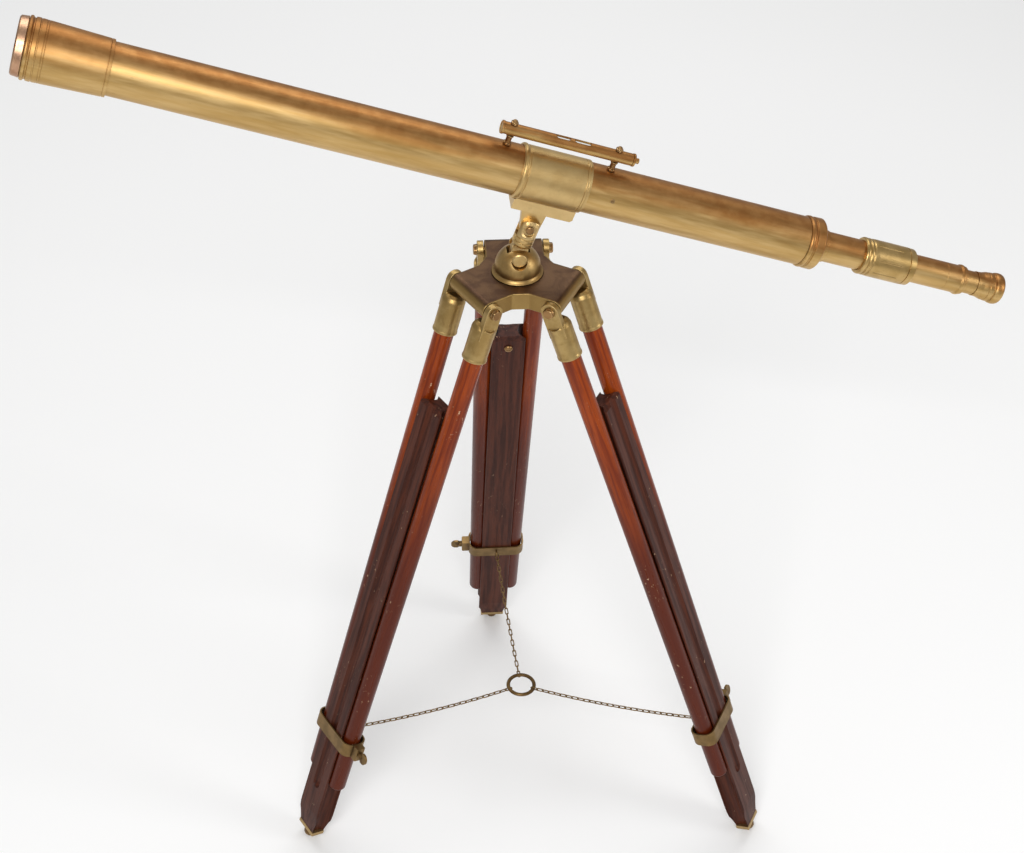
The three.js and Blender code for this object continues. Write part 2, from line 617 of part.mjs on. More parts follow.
function drawTubes(scope) {
  const draw = [
    [DRAW_FRONT, DRAW_BORE],
    [DRAW_FRONT, TUBE_BORE - GAP],
    [DRAW_FRONT + 8, TUBE_BORE - GAP],
    [DRAW_FRONT + 8, DRAW_RADIUS],
    [GRIP_FRONT + 30, DRAW_RADIUS],
    [GRIP_FRONT + 30, DRAW_BORE],
  ];
  piece(scope, "draw_tube", turned(draw, MIDDLE), AGED_BRASS);
  const grip = [
    [GRIP_FRONT, DRAW_RADIUS + GAP],
    [GRIP_FRONT, 23.5],
    [GRIP_FRONT + 1.5, 24.7],
    [GRIP_REAR - 1, 24.7],
    [GRIP_REAR, 23.5],
    [GRIP_REAR, DRAW_BORE],
    [GRIP_FRONT + 30 + GAP, DRAW_BORE],
    [GRIP_FRONT + 30 + GAP, DRAW_RADIUS + GAP],
  ];
  piece(scope, "grip_collar", turned(grip, MIDDLE), AGED_BRASS);
  const second = [
    [380, SECOND_BORE],
    [380, SECOND_RADIUS],
    [SECOND_REAR - 9, SECOND_RADIUS],
    [SECOND_REAR - 8, 20.3],
    [SECOND_REAR - 1, 20.3],
    [SECOND_REAR, 19.3],
    [SECOND_REAR, SECOND_BORE],
  ];
  piece(scope, "second_draw_tube", turned(second, MIDDLE), AGED_BRASS);
}

function eyepiece(scope) {
  const spigot = SECOND_BORE - GAP;
  const body = [
    [SECOND_REAR - 40, 14],
    [SECOND_REAR - 40, spigot],
    [SECOND_REAR + GAP, spigot],
    [SECOND_REAR + GAP, 15.5],
    [EYE_TUBE_REAR, 15.5],
    [EYE_TUBE_REAR, 14],
  ];
  piece(scope, "eyepiece_tube", turned(body, MIDDLE), AGED_BRASS);
  piece(scope, "field_lens", lens(SECOND_REAR - 38, SECOND_REAR - 33, 13.7, 1.2), GLASS);
  const cup = [
    [EYE_TUBE_REAR + GAP, 9.6],
    [EYE_TUBE_REAR + GAP, 16.8],
    [EYE_TUBE_REAR + 16, 18.4],
    [EYE_TUBE_REAR + 26, 20.2],
    [EYECUP_REAR - 4, 20.9],
    [EYECUP_REAR, 18.6],
    [EYECUP_REAR - 1, 16],
    [EYE_TUBE_REAR + 16, 9.6],
  ];
  piece(scope, "eyecup", turned(cup, MIDDLE), AGED_BRASS);
  piece(scope, "eye_lens", lens(EYE_TUBE_REAR + 4, EYE_TUBE_REAR + 9, 9.3, 1), GLASS);
}

// ---------------------------------------------------------------- spirit level

function spiritLevel(scope) {
  const level = groupAt(scope, LEVEL_SHIFT, 0, LEVEL_HEIGHT);
  const plugRoom = 12;
  const bore = solid(rod(LEVEL_FRONT + plugRoom + 14, LEVEL_REAR - plugRoom - 14, LEVEL_BORE));
  const windows = [[7, 27], [31, 54]].map(([from, to]) => solid(block(from, to, -4.5, 4.5, 2, 12)));
  const screwHoles = Object.values(LEVEL_POSTS).map((x) => solid(rodUp(-12, 12, 2 + GAP, 16).translate(x, 0, 0)));
  const body = cut(solid(rod(LEVEL_FRONT, LEVEL_REAR, LEVEL_RADIUS, MIDDLE)), bore, ...windows, ...screwHoles);
  piece(level, "level_tube", body, AGED_BRASS);
  piece(level, "level_vial", rod(-8, 68, LEVEL_BORE - GAP), GLASS);
  piece(level, "level_cap_front", rod(LEVEL_FRONT - 3.5, LEVEL_FRONT - GAP, LEVEL_RADIUS + 0.8, MIDDLE), AGED_BRASS);
  const knob = [[LEVEL_REAR + GAP, 0], [LEVEL_REAR + GAP, 8.5], [LEVEL_REAR + 3.5, 8.5], [LEVEL_REAR + 3.5, 3]];
  const button = [[LEVEL_REAR + 7, 3.6], [LEVEL_REAR + 9, 2.6], [LEVEL_REAR + 9, 0]];
  piece(level, "level_cap_rear", turned([...knob, ...button], COARSE), AGED_BRASS);
  for (const [end, x] of Object.entries(LEVEL_POSTS)) {
    const low = TUBE_RADIUS + GAP + 0.1 - LEVEL_HEIGHT;
    const under = -LEVEL_RADIUS - GAP;
    const over = LEVEL_RADIUS + GAP;
    const stem = [[low, 0], [low, 5.5], [low + 3, 5.5], [low + 4, 3.6], [under - 2, 3.6], [under, 5], [under, 2]];
    const nut = [[over, 2], [over, 5], [over + 3, 5], [over + 5.5, 3], [over + 5.5, 0]];
    piece(level, `level_post_${end}`, turnedUp([...stem, ...nut], COARSE).translate(x, 0, 0), AGED_BRASS);
  }
}

// ---------------------------------------------------------------- assembly

function build() {
  const telescopeOnTripod = new THREE.Group();
  const tripod = groupAt(telescopeOnTripod, AXIS_X, AXIS_Y, 0);
  headCasting(tripod);
  chainRing(tripod);
  for (const [leg, stance] of Object.entries(LEGS)) {
    legAssembly(tripod, leg, stance);
    chain(tripod, leg, stance);
  }
  const swivel = groupAt(tripod, 0, 0, 0);
  swivel.rotation.z = SWIVEL;
  dome(swivel);
  swivelStud(swivel);
  tiltPin(swivel);
  const tilted = groupAt(swivel, 0, 0, TILT_PIVOT);
  tilted.rotation.y = TILT;
  pillar(tilted);
  altitudeScrew(tilted);
  const scope = groupAt(tilted, SCOPE_SHIFT, 0, PILLAR_LENGTH + SCOPE_OFFSET);
  saddle(scope);
  tubes(scope);
  objectiveEnd(scope);
  drawTubes(scope);
  eyepiece(scope);
  spiritLevel(scope);
  return telescopeOnTripod;
}

export default build();
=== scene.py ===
"""The look of the telescope on its tripod: meshes, materials, lights and camera round the CAD frame.

Every piece is built in millimetres in the frame of its own part (telescope, pillar, dome or leg). The
object's matrix puts that frame in the row frame, in metres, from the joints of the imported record.
"""

import json
import math

import bmesh
import bpy
import numpy as np
from mathutils import Euler, Matrix, Vector


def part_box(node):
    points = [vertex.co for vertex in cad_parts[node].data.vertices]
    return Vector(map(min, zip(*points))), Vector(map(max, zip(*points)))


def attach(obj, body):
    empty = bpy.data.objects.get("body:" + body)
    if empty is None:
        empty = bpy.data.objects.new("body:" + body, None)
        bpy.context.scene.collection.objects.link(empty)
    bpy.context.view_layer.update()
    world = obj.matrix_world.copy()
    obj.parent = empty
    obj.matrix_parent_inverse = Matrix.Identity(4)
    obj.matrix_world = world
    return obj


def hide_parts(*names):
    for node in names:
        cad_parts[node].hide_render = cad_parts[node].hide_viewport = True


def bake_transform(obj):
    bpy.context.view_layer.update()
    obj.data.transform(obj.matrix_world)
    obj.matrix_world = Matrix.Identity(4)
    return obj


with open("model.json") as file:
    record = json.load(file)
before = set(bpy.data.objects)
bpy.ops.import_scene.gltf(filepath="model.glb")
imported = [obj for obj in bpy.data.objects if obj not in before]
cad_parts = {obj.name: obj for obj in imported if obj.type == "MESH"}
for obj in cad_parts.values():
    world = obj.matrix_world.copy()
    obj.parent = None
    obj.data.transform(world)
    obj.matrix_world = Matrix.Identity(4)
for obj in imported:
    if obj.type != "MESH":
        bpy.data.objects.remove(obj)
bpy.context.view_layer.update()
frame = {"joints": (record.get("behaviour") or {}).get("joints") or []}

# ---------------------------------------------------------------- frames of the parts

JOINTS = {joint["name"]: joint for joint in frame["joints"]}
LEGS = ("back", "left", "right")
MM = 0.001
SCOPE_OFFSET = 74  # from the upper pivot to the telescope's axis
SCOPE_SHIFT = -5  # along the telescope, from the upper pivot to the telescope's own zero
ROD_SPREAD = 35.4  # half the distance between a leg's rods, level with the hinge
ROD_LEAN = 0.01  # how fast each rod closes in towards the foot, in radians


def axis(joint):
    return Vector(JOINTS[joint]["axis"]).normalized()


def pivot(joint):
    return Vector(JOINTS[joint]["pos_m"])


def placed(origin, x, y, z):
    """The matrix of a right-handed frame from its origin and axes, for geometry in metres."""
    turn = Matrix((x, y, z)).transposed().to_4x4()
    return Matrix.Translation(origin) @ turn


along, across = axis("draw_slide"), axis("upper_tilt")
upward = along.cross(across)
SCOPE = placed(
    pivot("upper_tilt") + (upward * SCOPE_OFFSET + along * SCOPE_SHIFT) * MM, along, across, upward,
)
PILLAR = placed(pivot("lower_tilt"), along, across, upward)
DOME = placed(pivot("lower_tilt"), across.cross(Vector((0, 0, 1))), across, Vector((0, 0, 1)))
tripod_axis = pivot("swivel_turn")
HEAD = Matrix.Translation((tripod_axis.x, tripod_axis.y, pivot("leg_fold_back").z))


def leg_frame(leg):
    """Origin on the hinge: X across the leg, Y outward, Z up the leg."""
    x, z = -axis(f"leg_fold_{leg}"), -axis(f"leg_slide_{leg}")
    return placed(pivot(f"leg_fold_{leg}"), x, z.cross(x), z)


def rod_frame(leg, outward):
    lean = Matrix.Rotation(ROD_LEAN * outward, 4, "Y")
    return leg_frame(leg) @ Matrix.Translation((ROD_SPREAD * outward * MM, 0, 0)) @ lean


# ---------------------------------------------------------------- mesh helpers

ROUND = 96  # facets round a large turned piece


def new_object(name, mesh, where):
    obj = bpy.data.objects.new(name, mesh)
    bpy.context.scene.collection.objects.link(obj)
    obj.matrix_world = where
    return obj


def mesh_of(name, points, faces):
    """A smooth-shaded mesh from points in millimetres."""
    mesh = bpy.data.meshes.new(name)
    mesh.from_pydata([Vector(p) * MM for p in points], [], faces)
    mesh.shade_smooth()
    mesh.update()
    return mesh


def softened(profile, radius, steps=3):
    """The closed or open profile with each corner rounded; its ends on the axis stay."""
    points = [Vector(p) for p in profile]
    if radius <= 0:
        return points
    open_ended = points[0].y < 1e-6
    result = []
    for i, corner in enumerate(points):
        if open_ended and i in (0, len(points) - 1):
            result.append(corner)
            continue
        before, after = points[i - 1], points[(i + 1) % len(points)]
        back, on = before - corner, after - corner
        reach = min(radius, back.length * 0.45, on.length * 0.45)
        start, end = corner + back.normalized() * reach, corner + on.normalized() * reach
        for step in range(steps + 1):
            t = step / steps
            result.append((1 - t) ** 2 * start + 2 * t * (1 - t) * corner + t * t * end)
    return result


def revolve(profile, facets=ROUND, about="X", soft=0.4, shape=None):
    """Points and faces of [along, radius] turned about an axis; shape may change the radius."""
    line = softened(profile, soft)
    open_ended = line[0].y < 1e-6
    points, rings = [], []
    for along_mm, radius in line:
        if radius < 1e-6:
            rings.append([len(points)])
            points.append((along_mm, 0, 0))
            continue
        rings.append(list(range(len(points), len(points) + facets)))
        for k in range(facets):
            angle = 2 * math.pi * k / facets
            r = shape(along_mm, angle, radius) if shape else radius
            points.append((along_mm, r * math.cos(angle), r * math.sin(angle)))
    pairs = list(zip(rings, rings[1:]))
    if not open_ended:
        pairs.append((rings[-1], rings[0]))
    faces = []
    for a, b in pairs:
        for k in range(facets):
            n = (k + 1) % facets
            corners = [a[k % len(a)], a[n % len(a)], b[n % len(b)], b[k % len(b)]]
            distinct = list(dict.fromkeys(corners))
            if len(distinct) > 2:
                faces.append(distinct)
    if about == "Z":
        points = [(y, z, x) for x, y, z in points]
    if about == "Y":
        points = [(z, x, y) for x, y, z in points]
    return points, faces


def outward_faces(mesh):
    work = bmesh.new()
    work.from_mesh(mesh)
    bmesh.ops.recalc_face_normals(work, faces=work.faces)
    work.to_mesh(mesh)
    work.free()


def turned(name, profile, where, **options):
    """A turned piece: its profile of [along, radius] points in millimetres, revolved."""
    mesh = mesh_of(name, *revolve(profile, **options))
    outward_faces(mesh)
    obj = new_object(name, mesh, where)
    obj.modifiers.new("normals", "WEIGHTED_NORMAL")
    return obj


def prism(outline, low, high, plane="XY"):
    """Points and faces of a flat outline extruded from low to high, square to its plane."""
    count = len(outline)
    swap = {
        "XY": lambda u, v, w: (u, v, w), "XZ": lambda u, v, w: (u, w, v), "YZ": lambda u, v, w: (w, u, v),
    }[plane]
    points = [swap(u, v, w) for w in (low, high) for u, v in outline]
    faces = [list(range(count)), list(range(2 * count - 1, count - 1, -1))]
    faces += [[k, (k + 1) % count, (k + 1) % count + count, k + count] for k in range(count)]
    return points, faces


def slab(x0, x1, y0, y1, z0, z1):
    return prism([(x0, y0), (x1, y0), (x1, y1), (x0, y1)], z0, z1)


def arc(cx, cy, radius, start, end, steps=16):
    """Points along an arc, in degrees."""
    angles = [math.radians(start + (end - start) * k / steps) for k in range(steps + 1)]
    return [(cx + radius * math.cos(a), cy + radius * math.sin(a)) for a in angles]


def cylinder(low, high, radius, about, at=(0, 0, 0), facets=48):
    points, faces = revolve([(low, 0), (low, radius), (high, radius), (high, 0)], facets, about, soft=0)
    return [tuple(Vector(p) + Vector(at)) for p in points], faces


def shifted(solid, matrix):
    points, faces = solid
    return [tuple(matrix @ Vector(p)) for p in points], faces


def solid_object(name, shape):
    mesh = mesh_of(name, *shape)
    outward_faces(mesh)
    return new_object(name, mesh, Matrix.Identity(4))


def apply_modifiers(obj):
    depsgraph = bpy.context.evaluated_depsgraph_get()
    baked = bpy.data.meshes.new_from_object(obj.evaluated_get(depsgraph))
    obj.modifiers.clear()
    obj.data = baked


def combined(name, add, cut=()):
    """One mesh from solids joined and then cut, with the exact boolean solver."""
    body = solid_object(name, add[0])
    tools = []
    for operation, shapes in (("UNION", add[1:]), ("DIFFERENCE", cut)):
        for shape in shapes:
            tool = solid_object(f"{name}_tool", shape)
            modifier = body.modifiers.new("join", "BOOLEAN")
            modifier.operation = operation
            modifier.solver = "EXACT"
            modifier.object = tool
            tools.append(tool)
    bpy.context.view_layer.update()
    apply_modifiers(body)
    for tool in tools:
        bpy.data.objects.remove(tool)
    return body


def cast(name, where, add, cut=(), voxel=0.6, smoothing=4):
    """A cast piece: joined and cut solids, remeshed and smoothed so that its corners are round."""
    body = combined(name, add, cut)
    remesh = body.modifiers.new("cast", "REMESH")
    remesh.mode = "VOXEL"
    remesh.voxel_size = voxel * MM
    remesh.use_smooth_shade = True
    smooth = body.modifiers.new("smooth", "SMOOTH")
    smooth.factor = 0.5
    smooth.iterations = smoothing
    apply_modifiers(body)
    body.data.shade_smooth()
    body.matrix_world = where
    return body


def machined(name, where, add, cut=(), bevel=0.4):
    """A piece with crisp, slightly broken edges."""
    body = combined(name, add, cut)
    edge = body.modifiers.new("edge", "BEVEL")
    edge.width = bevel * MM
    edge.segments = 2
    edge.limit_method = "ANGLE"
    edge.angle_limit = math.radians(35)
    edge.harden_normals = False
    apply_modifiers(body)
    body.data.shade_smooth()
    body.modifiers.new("normals", "WEIGHTED_NORMAL").keep_sharp = True
    body.matrix_world = where
    return body


def finish_piece(obj, body, material, slot_name, *nodes):
    """Gives a piece its finish, its body and the CAD nodes that it stands for."""
    obj.data.materials.clear()
    obj.data.materials.append(material)
    if body:
        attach(obj, body)
    if nodes:
        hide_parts(*nodes)
    return obj


def turned_piece(name, profile, where, body, material, slot_name, node, **options):
    """A turned piece with its finish, its body and the CAD node that it stands for."""
    return finish_piece(turned(name, profile, where, **options), body, material, slot_name, node)


def clipped(name, shape, keep):
    """Points and faces of the part of a solid that is inside another."""
    body = combined(name, [shape])
    tool = solid_object(f"{name}_keep", keep)
    clip = body.modifiers.new("clip", "BOOLEAN")
    clip.operation = "INTERSECT"
    clip.solver = "EXACT"
    clip.object = tool
    bpy.context.view_layer.update()
    apply_modifiers(body)
    points = [tuple(v.co / MM) for v in body.data.vertices]
    result = points, [list(p.vertices) for p in body.data.polygons]
    bpy.data.objects.remove(tool)
    bpy.data.objects.remove(body)
    return result


def six_sided(radius, angle, flat):
    """The radius of a hexagonal head whose flats are that far from its axis."""
    sector = (angle + math.pi / 6) % (math.pi / 3) - math.pi / 6
    return min(radius, flat / math.cos(sector))


def copy_of(obj, name, where):
    twin = bpy.data.objects.new(name, obj.data)
    bpy.context.scene.collection.objects.link(twin)
    for source in obj.modifiers:
        if source.type == "WEIGHTED_NORMAL":
            twin.modifiers.new("normals", "WEIGHTED_NORMAL")
    twin.matrix_world = where
    return twin


# ---------------------------------------------------------------- material helpers


class Shader:
    """A material's node tree, built by short calls."""

    def __init__(self, name):
        self.material = bpy.data.materials.new(name)
        self.material.use_nodes = True
        self.tree = self.material.node_tree
        self.surface = self.tree.nodes["Principled BSDF"]
        self.object_coordinates = self.node("ShaderNodeTexCoord").outputs["Object"]

    def node(self, kind, **settings):
        made = self.tree.nodes.new(kind)
        for key, value in settings.items():
            setattr(made, key, value)
        return made

    def link(self, source, target):
        self.tree.links.new(source, target)

    def feed(self, socket, value):
        if isinstance(value, bpy.types.NodeSocket):
            self.link(value, socket)
        elif isinstance(value, (tuple, list)) and len(value) == 3 and socket.type == "RGBA":
            socket.default_value = (*value, 1)
        else:
            socket.default_value = value

    def stretched(self, scale, offset=(0, 0, 0)):
        """Object coordinates multiplied by scale, in cells per metre."""
        mapping = self.node("ShaderNodeMapping")
        self.feed(mapping.inputs["Vector"], self.object_coordinates)
        self.feed(mapping.inputs["Scale"], scale)
        self.feed(mapping.inputs["Location"], offset)
        return mapping.outputs["Vector"]

    def noise(self, scale, detail=3, roughness=0.55, offset=(0, 0, 0), distortion=0.0):
        made = self.node("ShaderNodeTexNoise")
        self.feed(made.inputs["Vector"], self.stretched(scale, offset))
        self.feed(made.inputs["Scale"], 1.0)
        self.feed(made.inputs["Detail"], detail)
        self.feed(made.inputs["Roughness"], roughness)
        self.feed(made.inputs["Distortion"], distortion)
        return made.outputs["Fac"]

    def ramp(self, value, low, high, to_low=0.0, to_high=1.0):
        made = self.node("ShaderNodeMapRange", interpolation_type="SMOOTHSTEP")
        self.feed(made.inputs["Value"], value)
        for socket, number in zip(
            ("From Min", "From Max", "To Min", "To Max"), (low, high, to_low, to_high),
        ):
            self.feed(made.inputs[socket], number)
        return made.outputs["Result"]

    def math(self, operation, a, b=0.0, clamp=False):
        made = self.node("ShaderNodeMath", operation=operation, use_clamp=clamp)
        self.feed(made.inputs[0], a)
        self.feed(made.inputs[1], b)
        return made.outputs[0]

    def mix(self, factor, a, b, amount=None):
        """From a to b by the factor, which amount may weaken."""
        if amount is not None:
            factor = self.math("MULTIPLY", factor, amount)
        made = self.node("ShaderNodeMix", data_type="RGBA")
        self.feed(made.inputs["Factor"], factor)
        self.feed(made.inputs["A"], a)
        self.feed(made.inputs["B"], b)
        return made.outputs["Result"]

    def position(self, letter):
        made = self.node("ShaderNodeSeparateXYZ")
        self.link(self.object_coordinates, made.inputs[0])
        return made.outputs[letter]

    def edges(self, low=0.5, high=0.56):
        """1 on worn outer edges, 0 elsewhere, from how sharply the surface turns."""
        pointiness = self.node("ShaderNodeNewGeometry").outputs["Pointiness"]
        return self.ramp(pointiness, low, high)

    def bump(self, height, strength, distance):
        made = self.node("ShaderNodeBump")
        self.feed(made.inputs["Strength"], strength)
        self.feed(made.inputs["Distance"], distance)
        self.feed(made.inputs["Height"], height)
        self.link(made.outputs["Normal"], self.surface.inputs["Normal"])

    def set(self, **sockets):
        for name, value in sockets.items():
            self.feed(self.surface.inputs[name.replace("_", " ")], value)


def aged_brass(name, top=(0.008, 0.030), rough=(0.38, 0.50)):
    """Lacquered brass, red-brown between two heights on its upper side (partly tarnish, partly painted
    shade for the dark that the upper side reflects), with soft streaks along X.
    """
    shader = Shader(name)
    cloud = shader.noise((7, 60, 60), detail=4)
    fine = shader.noise((25, 260, 260), detail=5, offset=(3, 1, 7))
    blotch = shader.noise((60, 60, 60), detail=3, offset=(9, 4, 2))
    gold = shader.mix(shader.ramp(fine, 0.35, 0.68), (0.56, 0.36, 0.135), (0.64, 0.44, 0.19))
    olive = shader.mix(shader.ramp(cloud, 0.42, 0.70), gold, (0.47, 0.29, 0.095))
    height = shader.position("Z")
    edge = shader.math("ADD", height, shader.ramp(cloud, 0.25, 0.75, -0.005, 0.005))
    # The red-brown band on the upper side: partly tarnish, partly painted shade of the dark reflected
    # from above.
    tarnish_and_shade_mask = shader.ramp(edge, top[0], top[1])
    brown = shader.mix(shader.ramp(blotch, 0.35, 0.7), (0.33, 0.14, 0.04), (0.42, 0.20, 0.065))
    tarnish_and_shade_colour = shader.mix(tarnish_and_shade_mask, olive, brown, amount=0.93)
    wear = shader.noise((40, 150, 150), detail=6, roughness=0.7, offset=(5, 5, 5))
    colour = shader.mix(shader.ramp(wear, 0.66, 0.74), tarnish_and_shade_colour, (0.16, 0.075, 0.028), amount=0.55)
    shader.set(Base_Color=colour, Metallic=1.0, Roughness=shader.ramp(fine, 0.3, 0.75, *rough))
    shader.bump(shader.noise((90, 900, 900), detail=3), 0.12, 0.0002)
    return shader.material


def satin_brass(name, light=(0.56, 0.38, 0.155), dark=(0.44, 0.285, 0.10), shade=(0.22, 0.125, 0.04),
                rough=(0.30, 0.42), stains=0.5):
    """Brushed, lightly tarnished brass with darker clouds and worn bright edges."""
    shader = Shader(name)
    cloud = shader.noise((45, 45, 45), detail=5, distortion=0.4)
    fine = shader.noise((420, 420, 420), detail=3, offset=(2, 8, 1))
    base = shader.mix(shader.ramp(cloud, 0.35, 0.68), light, dark)
    spots = shader.noise((95, 95, 95), detail=6, roughness=0.65, offset=(7, 3, 1))
    stained = shader.mix(shader.ramp(spots, 0.58, 0.74), base, shade, amount=stains)
    worn = shader.mix(shader.edges(), stained, (0.70, 0.51, 0.25), amount=0.5)
    hollow = shader.ramp(shader.node("ShaderNodeNewGeometry").outputs["Pointiness"], 0.49, 0.44)
    colour = shader.mix(hollow, worn, (0.12, 0.065, 0.022), amount=0.8)
    shader.set(Base_Color=colour, Metallic=1.0, Roughness=shader.ramp(fine, 0.3, 0.7, *rough))
    shader.bump(fine, 0.08, 0.0002)
    return shader.material


def cast_bronze(name):
    """Sand-cast brass gone dark brown, rubbed olive on its edges; sideways faces painted lighter olive
    and faces pointing up or down left dark brown, as painted light and shade by facing.
    """
    shader = Shader(name)
    cloud = shader.noise((38, 38, 38), detail=5, distortion=0.6)
    grit = shader.noise((700, 700, 700), detail=4, offset=(1, 2, 3))
    brown = shader.mix(shader.ramp(cloud, 0.38, 0.66), (0.070, 0.036, 0.020), (0.120, 0.066, 0.034))
    normal = shader.node("ShaderNodeSeparateXYZ")
    shader.link(shader.node("ShaderNodeTexCoord").outputs["Normal"], normal.inputs[0])
    # Painted light and shade by facing: sideways faces lighter olive, faces pointing up or down dark
    # brown.
    flank = shader.ramp(shader.math("ABSOLUTE", normal.outputs["Z"]), 0.93, 0.55)
    olive = shader.mix(cloud, (0.36, 0.235, 0.08), (0.27, 0.165, 0.055))
    shaded_by_facing = shader.mix(flank, brown, olive)
    colour = shader.mix(shader.edges(0.505, 0.55), shaded_by_facing, (0.46, 0.31, 0.12), amount=0.45)
    shader.set(Base_Color=colour, Metallic=0.9, Roughness=shader.ramp(grit, 0.3, 0.7, 0.34, 0.5))
    shader.bump(grit, 0.22, 0.0004)
    return shader.material


def dark_bronze(name, light=(0.135, 0.075, 0.027), dark=(0.065, 0.036, 0.015)):
    """Brown-bronze of straps, thumb screws and chains."""
    shader = Shader(name)
    cloud = shader.noise((70, 70, 70), detail=5)
    base = shader.mix(shader.ramp(cloud, 0.35, 0.65), light, dark)
    colour = shader.mix(shader.edges(), base, (0.40, 0.26, 0.10), amount=0.4)
    shader.set(Base_Color=colour, Metallic=0.9, Roughness=shader.ramp(cloud, 0.3, 0.7, 0.38, 0.52))
    shader.bump(shader.noise((600, 600, 600)), 0.15, 0.0003)
    return shader.material


def varnished_wood(name, lit, deep, chips, coat, gloss=0.25, fade=None):
    """Turned wood, stained and varnished: grain along Z, a slow change downwards, and pale chips."""
    shader = Shader(name)
    grain = shader.noise((160, 160, 9), detail=5, roughness=0.6, distortion=0.3)
    pore = shader.noise((900, 900, 40), detail=3, offset=(4, 1, 2))
    cloud = shader.noise((22, 22, 5), detail=3, offset=(8, 2, 6))
    tone = shader.mix(shader.ramp(grain, 0.36, 0.66), lit, deep)
    tone = shader.mix(shader.ramp(pore, 0.56, 0.7), tone, tuple(c * 0.35 for c in deep), amount=0.45)
    if fade:
        lower = tuple(c * 0.45 for c in deep)
        down = shader.math("ADD", shader.position("Z"), shader.ramp(cloud, 0.3, 0.7, -0.05, 0.05))
        tone = shader.mix(shader.ramp(down, *fade), tone, lower, amount=0.9)
    flake = shader.noise((230, 230, 130), detail=4, roughness=0.75, offset=(1, 9, 5))
    patch = shader.ramp(shader.noise((18, 18, 9), detail=2, offset=(6, 6, 1)), 0.52, 0.62)
    chip = shader.math("MULTIPLY", shader.ramp(flake, 0.685 - chips, 0.70 - chips), patch)
    tone = shader.mix(chip, tone, (0.52, 0.33, 0.2))
    shader.set(Base_Color=tone, Roughness=shader.ramp(grain, 0.3, 0.7, gloss, gloss + 0.14))
    shader.set(Coat_Weight=coat, Coat_Roughness=0.2, Specular_IOR_Level=0.16)
    shader.bump(shader.math("ADD", grain, pore), 0.12, 0.0004)
    return shader.material


def liquid(name):
    """The vial's pale spirit, seen through its glass."""
    shader = Shader(name)
    cloud = shader.noise((60, 60, 60), detail=2)
    shader.set(Base_Color=shader.mix(cloud, (0.72, 0.76, 0.74), (0.86, 0.88, 0.86)), Roughness=0.06)
    shader.set(Coat_Weight=0.6, Coat_Roughness=0.04)
    return shader.material


def lens_glass(name):
    """Coated optical glass over a dark barrel."""
    shader = Shader(name)
    haze = shader.noise((200, 200, 200), detail=2)
    shader.set(Base_Color=shader.mix(haze, (0.02, 0.03, 0.035), (0.035, 0.045, 0.05)), Roughness=0.05)
    shader.set(Coat_Weight=1.0, Coat_Roughness=0.03)
    return shader.material


TUBE_BRASS = aged_brass("aged_brass_tube")
SLIM_BRASS = aged_brass("aged_brass_slim", top=(0.004, 0.016))
LEVEL_BRASS = aged_brass("aged_brass_level", top=(0.0015, 0.0062))
HOOD_BRASS = aged_brass("satin_brass_hood", top=(-0.004, 0.036), rough=(0.42, 0.5))
SATIN_BRASS = satin_brass("satin_brass")
BRIGHT_BRASS = satin_brass(
    "bright_brass", light=(0.60, 0.42, 0.18), dark=(0.52, 0.345, 0.135), stains=0.2, rough=(0.38, 0.48),
)
FOOT_BRASS = satin_brass(
    "foot_brass", light=(0.22, 0.125, 0.045), dark=(0.13, 0.07, 0.028), rough=(0.42, 0.55),
)
SOCKET_BRASS = satin_brass(
    "socket_brass", light=(0.47, 0.33, 0.135), dark=(0.36, 0.235, 0.085), rough=(0.36, 0.48),
)
SCREW_BRASS = satin_brass("screw_brass", light=(0.36, 0.20, 0.08), dark=(0.22, 0.115, 0.045))
DOME_BRASS = satin_brass(
    "dome_brass", light=(0.46, 0.30, 0.115), dark=(0.34, 0.21, 0.075), rough=(0.36, 0.46),
)
COPPER = satin_brass(
    "copper_cap", light=(0.60, 0.36, 0.23), dark=(0.40, 0.21, 0.12), shade=(0.2, 0.1, 0.05),
)
BRONZE_CAST = cast_bronze("bronze_cast")
BRONZE = dark_bronze("bronze")
CHAIN_BRONZE = dark_bronze("bronze_chain", light=(0.15, 0.085, 0.035), dark=(0.07, 0.038, 0.018))
RED_WOOD = varnished_wood(
    "red_wood", (0.30, 0.048, 0.004), (0.155, 0.019, 0.003), fade=(-0.12, -0.50), chips=0.045, coat=0.12,
)
DARK_WOOD = varnished_wood(
    "dark_wood", (0.085, 0.019, 0.007), (0.038, 0.0085, 0.004), chips=0.03, gloss=0.4, coat=0.04,
)
LIQUID = liquid("glass_liquid")
LENS = lens_glass("glass_lens")

# ---------------------------------------------------------------- telescope

TUBE_RADIUS = 31.75
TUBE_BORE = 29.75
TUBE_FRONT, TUBE_REAR = -560, 353.5
HOOD_FRONT, HOOD_REAR = -634.4, -537.3
CAP_FRONT = -645.6
SLEEVE_FRONT, SLEEVE_REAR, SLEEVE_RADIUS = -38.3, 50.9, 34
FLANGE_REAR, COLLAR_REAR = 375.2, 386.8
GRIP_FRONT, GRIP_REAR, GRIP_RADIUS = 438, 512, 24.7
DRAW_FRONT, DRAW_RADIUS, DRAW_BORE = 232, 19.8, 18.9
SECOND_RADIUS, SECOND_BORE, SECOND_REAR = 18.6, 16.6, 592
EYE_TUBE_REAR, EYECUP_REAR = 609.5, 648.8
GAP = 0.3


def groove(at, radius, width=1.2, depth=0.8):
    """A narrow turned groove in a profile that runs along X."""
    half = width / 2
    return [
        (at - half, radius), (at - half * 0.5, radius - depth), (at + half * 0.5, radius - depth),
        (at + half, radius),
    ]


def bead(start, end, base, proud, steps=6):
    """A half-round ring standing proud of a profile that runs along X."""
    middle, half = (start + end) / 2, (end - start) / 2
    angles = [math.pi * (1 - k / steps) for k in range(steps + 1)]
    return [(middle + half * math.cos(a), base + proud * math.sin(a)) for a in angles]


